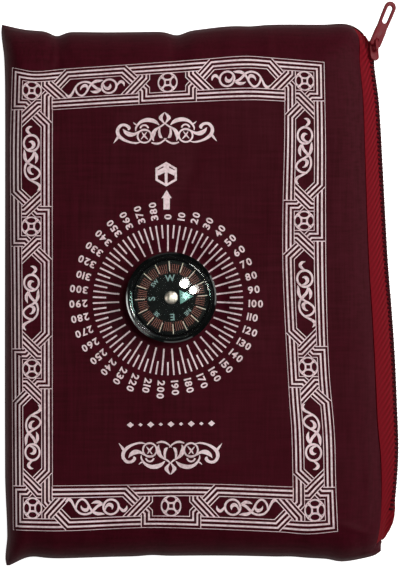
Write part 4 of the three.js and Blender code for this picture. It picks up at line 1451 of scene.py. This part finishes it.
def acrylic_material():
    """Clear cast acrylic: lamps shine through it on to the card, and it mirrors them as small round
    lights."""
    material, tree = new_material("clear_acrylic")
    glass = add_node(tree, "BsdfPrincipled", {
        "Base Color": (0.97, 0.99, 0.99, 1), "Roughness": 0.03, "IOR": 1.49, "Transmission Weight": 1.0,
    })
    clear = add_node(tree, "BsdfTransparent", {"Color": (0.93, 0.95, 0.95, 1)})
    lamp = add_node(tree, "LightPath").outputs["Is Shadow Ray"]
    both = add_node(tree, "MixShader", {0: lamp, 1: glass.outputs["BSDF"], 2: clear.outputs["BSDF"]})
    add_node(tree, "OutputMaterial", {"Surface": both.outputs["Shader"]})
    return material


def card_material(look):
    """Printed card stock: matt black with a breath of green and fine paper grain."""
    return mottled_material(
        "printed_card", (3.0, 3.0, 3.0), 2.0, (0.35, 0.65), look.card, look.card_light,
        (0.3, 0.7, 0.6, 0.45), None, {"Specular IOR Level": 0.05},
    )


def mark_material(name, light, dark):
    """Offset printing ink on the card: flat colour, broken a little by the paper's grain."""
    return mottled_material(name, (2.0, 2.0, 2.0), 2.0, (0.35, 0.65), dark, light, (0.3, 0.7, 0.65, 0.5))


def brass_material(name, light, dark, rough):
    """Turned brass: a pale yellow metal with fine rings of machining that spread its highlights."""
    return mottled_material(
        name, (2.5, 2.5, 0.5), 3.0, (0.35, 0.65), dark, light,
        (0.3, 0.7, rough, rough + 0.15), None, {"Metallic": 1.0},
    )


def floor_material(look):
    """Opal light table: matt white, with a glow that the camera sees and that lights the part only
    faintly."""
    material, tree = new_material("opal_light_table")
    tooth = stretched_noise(tree, (0.5, 0.5, 0.5))
    colour = tinted(tree, (tooth, 0.3, 0.7), np.multiply(look.board, 0.98), look.board)
    seen = add_node(tree, "LightPath").outputs["Is Camera Ray"]
    glow = add_node(tree, "MapRange", ranged(seen, 0, 1, *STAGE["glow"])).outputs["Result"]
    shader = add_node(tree, "BsdfPrincipled", {
        "Base Color": colour, "Roughness": 0.9, "Specular IOR Level": 0.2,
        "Emission Color": (1, 1, 1, 1), "Emission Strength": glow,
    })
    add_node(tree, "OutputMaterial", {"Surface": shader.outputs["BSDF"]})
    return material


def colour_property(name, description, colour):
    words = {"name": name, "description": description}
    return FloatVectorProperty(**words, subtype="COLOR", size=3, min=0, max=1, default=linear(colour))


def length_property(name, description, millimetres):
    words = {"name": name, "description": description}
    return FloatProperty(**words, default=millimetres * MM, min=0, unit="LENGTH", precision=5)


def number_property(name, description, number):
    return FloatProperty(name=name, description=description, default=number, min=0)


class ClothLook(bpy.types.PropertyGroup):
    """Colours and sizes of the pouch's cloth."""

    dark: colour_property("Dark yarn", "Cloth where the yarn lies in shade", "31050d")
    light: colour_property("Light yarn", "Cloth where a slub catches the light", "3f0816")
    faded: colour_property("Faded cloth", "Broad clouds of slightly faded cloth", "3b0814")
    weave: length_property("Weave pitch", "Distance between drawn threads", 0.62)


class ZipLook(bpy.types.PropertyGroup):
    """Colours of the zip's tape, teeth, slider and pull tab."""

    # Rib is a painted highlight and groove a painted shade of the same red yarn; groove also tints random
    # darker threads. Shade is painted shade beside the panel's turned edge.
    rib: colour_property("Rib", "Top of the tape's ribs", "7e1220")
    groove: colour_property("Groove", "Between the tape's ribs", "5a040d")
    shade: colour_property("Tape's inner half", "Tape beside the panel's turned edge", "6a0614")
    tooth: colour_property("Tooth", "Nylon teeth", "2c0309")
    tooth_light: colour_property("Tooth, lighter", "Lighter streaks in the nylon", "3c0a14")
    paint: colour_property("Paint", "Enamel of the slider and pull tab", "68111b")
    paint_worn: colour_property("Worn paint", "Enamel where it is scuffed", "73242d")


class CompassLook(bpy.types.PropertyGroup):
    """Colours of the compass."""

    case: colour_property("Case", "Gloss black case", "020303")
    case_light: colour_property("Case, lighter", "Faint marks in the case", "060707")
    card: colour_property("Card", "Printed face of the card", "010202")
    card_light: colour_property("Card, lighter", "Grain of the card", "040706")
    tick: colour_property("Ticks", "Cream marks of the card", "bdb3a2")
    band: colour_property("Graduations", "Brown-orange band of fine marks", "6c2a12")
    letter: colour_property("Letters", "Grey-green letters of the card", "5f7977")
    pointer: colour_property("Pointer", "Green triangle", "55887d")
    brass: colour_property("Brass", "Cap in the card's middle", "fbf0e2")
    brass_dark: colour_property("Brass, darker", "Machining marks of the cap", "dccbb9")


class PrintLook(bpy.types.PropertyGroup):
    """Colours and thickness of the screen print."""

    ink: colour_property("Ink", "Pink-white ink", "e6cfd4")
    bright: colour_property("Bright ink", "Where the film is thickest", "f6dfe5")
    worn: colour_property("Worn ink", "Specks where the cloth shows through", "c8afb4")
    weave: length_property("Weave pitch", "Distance between drawn threads", 0.62)
    over: length_property("Film over the cloth", "Height of the ink over the cloth", 0.07)
    under: length_property("Film in the cloth", "How far the ink sinks in", 0.05)


class StageLook(bpy.types.PropertyGroup):
    """Floor, lamps and camera."""

    board: colour_property("Board", "Pale floor", "f4f2f1")
    sky: number_property("Fill light", "Strength of the even light from all round", 0.03)
    power: number_property("Lamps", "Share of their full power that the lamps give", 1.0)
    distance: length_property("Camera distance", "Height of the camera over the floor", 1396.0)
    focal: number_property("Focal length", "Focal length of the camera, in millimetres", 300.0)


def looks():
    return bpy.context.scene.prayer_mat


def add_prints(rows):
    """Adds parts of the screen print from rows of a name and a function that draws the surface of its
    film."""
    look = looks().ink
    film = {"over": look.over / MM, "under": look.under / MM}
    material = bpy.data.materials.get("screen_print_ink") or ink_material(look)
    for name, draw in rows:
        add_piece(name, make_mesh(name, *draw(film)), material, POUCH_BODY)


def plan_film(strokes):
    """A function that lays strokes, drawn on the plan, as a film on the face."""
    return lambda film: laid_film(strokes, np.asarray, film)


def rosette_surface(film):
    """Every rosette of the border: all of both side bands', and the middle one of the head's and the
    foot's."""
    head, foot, left, right = band_frames()
    strokes = []
    bands = (left, slice(4)), (right, slice(4)), (head, slice(1, 2)), (foot, slice(1, 2))
    for (place, rosettes), shown in bands:
        for rosette in rosettes[shown]:
            centre = place(np.array([[rosette[0], BAND / 2]]))[0]
            strokes += moved(rosette_strokes(), lambda p: p + centre)
    return laid_film(strokes, drawn_to_plan, film)


def scroll_surface(film):
    """Every cartouche's scroll, turned and mirrored as the pattern has it."""
    strokes = []
    for band, (place, rosettes) in enumerate(band_frames()):
        for axes, (middle, _, _) in zip(SCROLL["axes"][band], cartouches(rosettes), strict=True):
            centre = place(np.array([[middle, BAND / 2]]))[0]
            strokes += moved(scroll_strokes(), lambda p: p * SCROLL["size"][band] @ np.array(axes) + centre)
    return laid_film(strokes, drawn_to_plan, film)


def border_surface(film):
    """The border's straps and frames."""
    strokes = [stroke(refined(line, LINE["spacing"]), width) for line, width in border_lines()]
    return laid_film(strokes, drawn_to_plan, film)


def card_strokes(angles, inner, outer, width):
    """Marks on the card at angles past its own turn, between two radii, with a width at each of them."""
    strokes = []
    for angle in angles:
        out = out_at(CARD["turn"] + angle)
        ends = zip((inner, outer), width, strict=True)
        strokes.append(stroke([(*(out * radius + COMPASS[:2]), wide) for radius, wide in ends]))
    return strokes


def card_ground(x, y):
    """Height of the card's face."""
    return np.full_like(x, COMPASS[2] + CARD_TOP)


def card_word_shells():
    """Letters of three quarters of the compass, and smaller pairs between them, with their tops outwards."""
    shells = []
    for text, turn, height, radius in CARD["words"]:
        points, faces = glyph(text, height, None, CARD["bold"])
        out = out_at(turn + CARD["turn"])
        across = np.array([out[1], -out[0]])
        size = points.max(axis=0)
        plan = (points[:, :1] - size[0] / 2) * across + (points[:, 1:2] - size[1] / 2 + radius) * out
        shells.append((np.column_stack([plan + COMPASS[:2], points[:, 2]]), faces))
    return shells


class PrayerMatLooks(bpy.types.PropertyGroup):
    """All sizes and colours of the part."""

    cloth: PointerProperty(type=ClothLook)
    zip: PointerProperty(type=ZipLook)
    compass: PointerProperty(type=CompassLook)
    ink: PointerProperty(type=PrintLook)
    stage: PointerProperty(type=StageLook)


class PRAYERMAT_OT_pouch(bpy.types.Operator):
    """Builds the filled cloth pouch"""

    bl_idname = "prayermat.pouch"
    bl_label = "Pouch"

    def execute(self, context):
        mesh = make_mesh("pouch_cloth", *pouch_surface(), SMOOTH["cloth"])
        cloth = cloth_material(looks().cloth)
        piece = add_piece("pouch_cloth", mesh, cloth, POUCH_BODY, ["pouch"])
        return {"FINISHED"}


class PRAYERMAT_OT_zip(bpy.types.Operator):
    """Builds the zip's two tapes and its closed chain of teeth"""

    bl_idname = "prayermat.zip"
    bl_label = "Zip"

    def execute(self, context):
        material = tape_material(looks().zip)
        rows = (("zip_tape_upper", 1, "zip_tape_front"), ("zip_tape_lower", -1, "zip_tape_back"))
        for name, side, node in rows:
            points, faces, lengths = tape_surface(side)
            mesh = make_mesh(name, points, faces, SMOOTH["zip"], {"tape": lengths})
            add_piece(name, mesh, material, POUCH_BODY, [node])
        mesh = make_mesh("zip_teeth", *teeth_surface(), SMOOTH["zip"])
        add_piece("zip_teeth", mesh, nylon_material(looks().zip), POUCH_BODY, ["zip_chain"])
        return {"FINISHED"}


class PRAYERMAT_OT_slider(bpy.types.Operator):
    """Builds the zip's slider and its pull tab"""

    bl_idname = "prayermat.slider"
    bl_label = "Slider and pull tab"

    def execute(self, context):
        material = enamel_material(looks().zip)
        for name, (points, faces), (at, turn), node in (
            ("zip_slider_body", slider_surface(), slider_axes(), "zip_slider"),
            ("zip_pull_tab", puller_surface(), puller_axes(), "zip_puller"),
        ):
            mesh = make_mesh(name, points @ turn.T + at, faces, SMOOTH["casting"])
            add_piece(name, mesh, material, POUCH_BODY, [node])
        return {"FINISHED"}


class PRAYERMAT_OT_border(bpy.types.Operator):
    """Prints the border: straps, scrolls and rosettes"""

    bl_idname = "prayermat.border"
    bl_label = "Printed border"

    def execute(self, context):
        add_prints((
            ("print_border", border_surface),
            ("print_scrolls", scroll_surface),
            ("print_rosettes", rosette_surface),
        ))
        return {"FINISHED"}


class PRAYERMAT_OT_middle(bpy.types.Operator):
    """Prints the ornaments, the sign, the arrow and the row of lozenges"""

    bl_idname = "prayermat.middle"
    bl_label = "Printed ornaments and signs"

    def execute(self, context):
        ornaments = ornament_strokes(ORNAMENT_HEAD) + ornament_strokes(ORNAMENT_FOOT)
        add_prints((
            ("print_ornaments", plan_film(ornaments)),
            ("print_sign", plan_film(sign_strokes())),
            ("print_arrow", plan_film(arrow_strokes())),
            ("print_lozenges", plan_film(lozenge_strokes())),
        ))
        return {"FINISHED"}


class PRAYERMAT_OT_dial(bpy.types.Operator):
    """Prints the dial's rays and numbers round the compass"""

    bl_idname = "prayermat.dial"
    bl_label = "Printed dial"

    def execute(self, context):
        add_prints((
            ("print_dial_ticks", plan_film(dial_tick_strokes())),
            ("print_dial_numbers", lambda film: laid_shells(dial_number_shells(), film)),
        ))
        return {"FINISHED"}


def add_turned(body, name, profile, steps, material, slot, node):
    """Adds a piece that is turned round the compass's axis and stands for one CAD node."""
    mesh = make_mesh(name, *lathe(profile, steps), SMOOTH["turned"])
    add_piece(name, mesh, material, body, [node])


class PRAYERMAT_OT_compass(bpy.types.Operator):
    """Builds the compass's case, lens and pivot"""

    bl_idname = "prayermat.compass"
    bl_label = "Compass case and lens"

    def execute(self, context):
        black = plastic_material(looks().compass)
        metal = brass_material("pivot_brass", linear("c9b68a"), linear("8f7d52"), 0.25)
        for row in (
            ("compass_case_shell", rounded(*CASE_PROFILE), 96, black, "case_black", "compass_case"),
            ("compass_lens_dome", lens_profile(), 96, acrylic_material(), "lens_clear", "compass_lens"),
            ("compass_pivot_needle", rounded(*PIVOT_PROFILE), 32, metal, "pivot_metal", "compass_pivot"),
        ):
            add_turned(POUCH_BODY, *row)
        return {"FINISHED"}


class PRAYERMAT_OT_card(bpy.types.Operator):
    """Builds the compass card, its marks and its cap"""

    bl_idname = "prayermat.card"
    bl_label = "Compass card"

    def execute(self, context):
        look, c = looks().compass, CARD
        stock = card_material(look)
        brass = brass_material("cap_brass", look.brass, look.brass_dark, 0.28)
        for row in (
            ("compass_card_disc", rounded(*DISC_PROFILE), 96, stock, "card_face", "compass_card"),
            ("card_cap_brass", rounded(*CAP_PROFILE), 48, brass, "pivot_metal", "card_cap"),
        ):
            add_turned(CARD_BODY, *row)
        ticks = [360 * i / c["ticks"] for i in range(c["ticks"])]
        shares = [i + 0.5 for i in range(c["fine"]) if (i + 0.5) % (c["fine"] / c["ticks"]) > c["clear"]]
        fine = [360 * share / c["fine"] for share in shares]
        film = {"over": c["film"], "under": c["film"]}
        tick_film, fine_film, pointer_film = (
            laid_film(card_strokes(angles, *mark), np.asarray, film, card_ground)
            for angles, mark in ((ticks, c["tick"]), (fine, c["fine_tick"]), ([0], c["pointer"]))
        )
        words = laid_shells(card_word_shells(), film, card_ground)
        for name, surface, ink, light, dark in (
            ("card_ticks", tick_film, "card_ink_cream", look.tick, "a69c8c"),
            ("card_graduations", fine_film, "card_ink_orange", look.band, "3e1507"),
            ("card_letters", words, "card_ink_grey", look.letter, "5a706e"),
            ("card_pointer", pointer_film, "card_ink_teal", look.pointer, "3f6c63"),
        ):
            add_piece(name, make_mesh(name, *surface), mark_material(ink, light, linear(dark)), CARD_BODY)
        return {"FINISHED"}


def aim(thing, tilt, azimuth, distance, target):
    """Sets a lamp on a sphere round a target, facing it: tilt from straight up, azimuth from +X towards
    +Y."""
    tilt, azimuth = math.radians(tilt), math.radians(azimuth)
    way = Vector((math.sin(tilt) * math.cos(azimuth), math.sin(tilt) * math.sin(azimuth), math.cos(tilt)))
    thing.location = Vector(target) + way * distance
    thing.rotation_euler = way.to_track_quat("Z", "Y").to_euler()


def add_lamp(row, share):
    light = bpy.data.lights.new(row["name"], "AREA")
    light.shape = row["shape"]
    light.size, light.size_y = row["size"] * MM, row["size_y"] * MM
    light.energy = row["power"] * share
    light.color = linear(row["colour"])
    lamp = bpy.data.objects.new(row["name"], light)
    bpy.context.scene.collection.objects.link(lamp)
    aim(lamp, row["tilt"], row["azimuth"], row["distance"] * MM, COMPASS * MM)


class PRAYERMAT_OT_stage(bpy.types.Operator):
    """Sets the floor, the lamps and the camera"""

    bl_idname = "prayermat.stage"
    bl_label = "Stage"

    def execute(self, context):
        look = looks().stage
        half = STAGE["floor_half"]
        outline = np.array([(-half, -half), (half, -half), (half, half), (-half, half)], float)
        rings = np.stack([np.column_stack([outline, np.full(4, z)]) for z in STAGE["floor_z"]])
        mesh = make_mesh("floor", *loft(rings))
        mesh.materials.append(floor_material(look))
        floor = bpy.data.objects.new("floor", mesh)
        context.scene.collection.objects.link(floor)
        for row in table_rows(LIGHTS):
            add_lamp(row, look.power)
        world = bpy.data.worlds.new("studio")
        world.use_nodes = True
        background = world.node_tree.nodes["Background"]
        background.inputs["Strength"].default_value = look.sky
        background.inputs["Color"].default_value = (1, 1, 1, 1)
        context.scene.world = world
        camera = bpy.data.cameras.new("camera")
        camera.lens = look.focal
        camera.sensor_width = STAGE["sensor"]
        holder = bpy.data.objects.new("camera", camera)
        holder.location = (STAGE["camera_x"] * MM, STAGE["camera_y"] * MM, look.distance)
        context.scene.collection.objects.link(holder)
        context.scene.camera = holder
        context.scene.view_settings.view_transform = "Standard"
        return {"FINISHED"}


OPERATORS = (
    PRAYERMAT_OT_pouch, PRAYERMAT_OT_zip, PRAYERMAT_OT_slider,
    PRAYERMAT_OT_border, PRAYERMAT_OT_middle, PRAYERMAT_OT_dial,
    PRAYERMAT_OT_compass, PRAYERMAT_OT_card, PRAYERMAT_OT_stage,
)


class PRAYERMAT_PT_sidebar(bpy.types.Panel):
    """Buttons that build the part, piece by piece"""

    bl_idname = "PRAYERMAT_PT_sidebar"
    bl_label = "Folded prayer mat"
    bl_space_type = "VIEW_3D"
    bl_region_type = "UI"
    bl_category = "Prayer Mat"

    def draw(self, context):
        for operator in OPERATORS:
            self.layout.operator(operator.bl_idname)


CLASSES = (
    ClothLook, ZipLook, CompassLook, PrintLook, StageLook, PrayerMatLooks, *OPERATORS, PRAYERMAT_PT_sidebar,
)


def register():
    for item in CLASSES:
        bpy.utils.register_class(item)
    bpy.types.Scene.prayer_mat = PointerProperty(type=PrayerMatLooks)


def unregister():
    del bpy.types.Scene.prayer_mat
    for item in reversed(CLASSES):
        bpy.utils.unregister_class(item)


def main():
    """Builds every piece and the stage."""
    register()
    for operator in OPERATORS:
        group, name = operator.bl_idname.split(".")
        getattr(getattr(bpy.ops, group), name)()


if __name__ == "__main__":
    main()
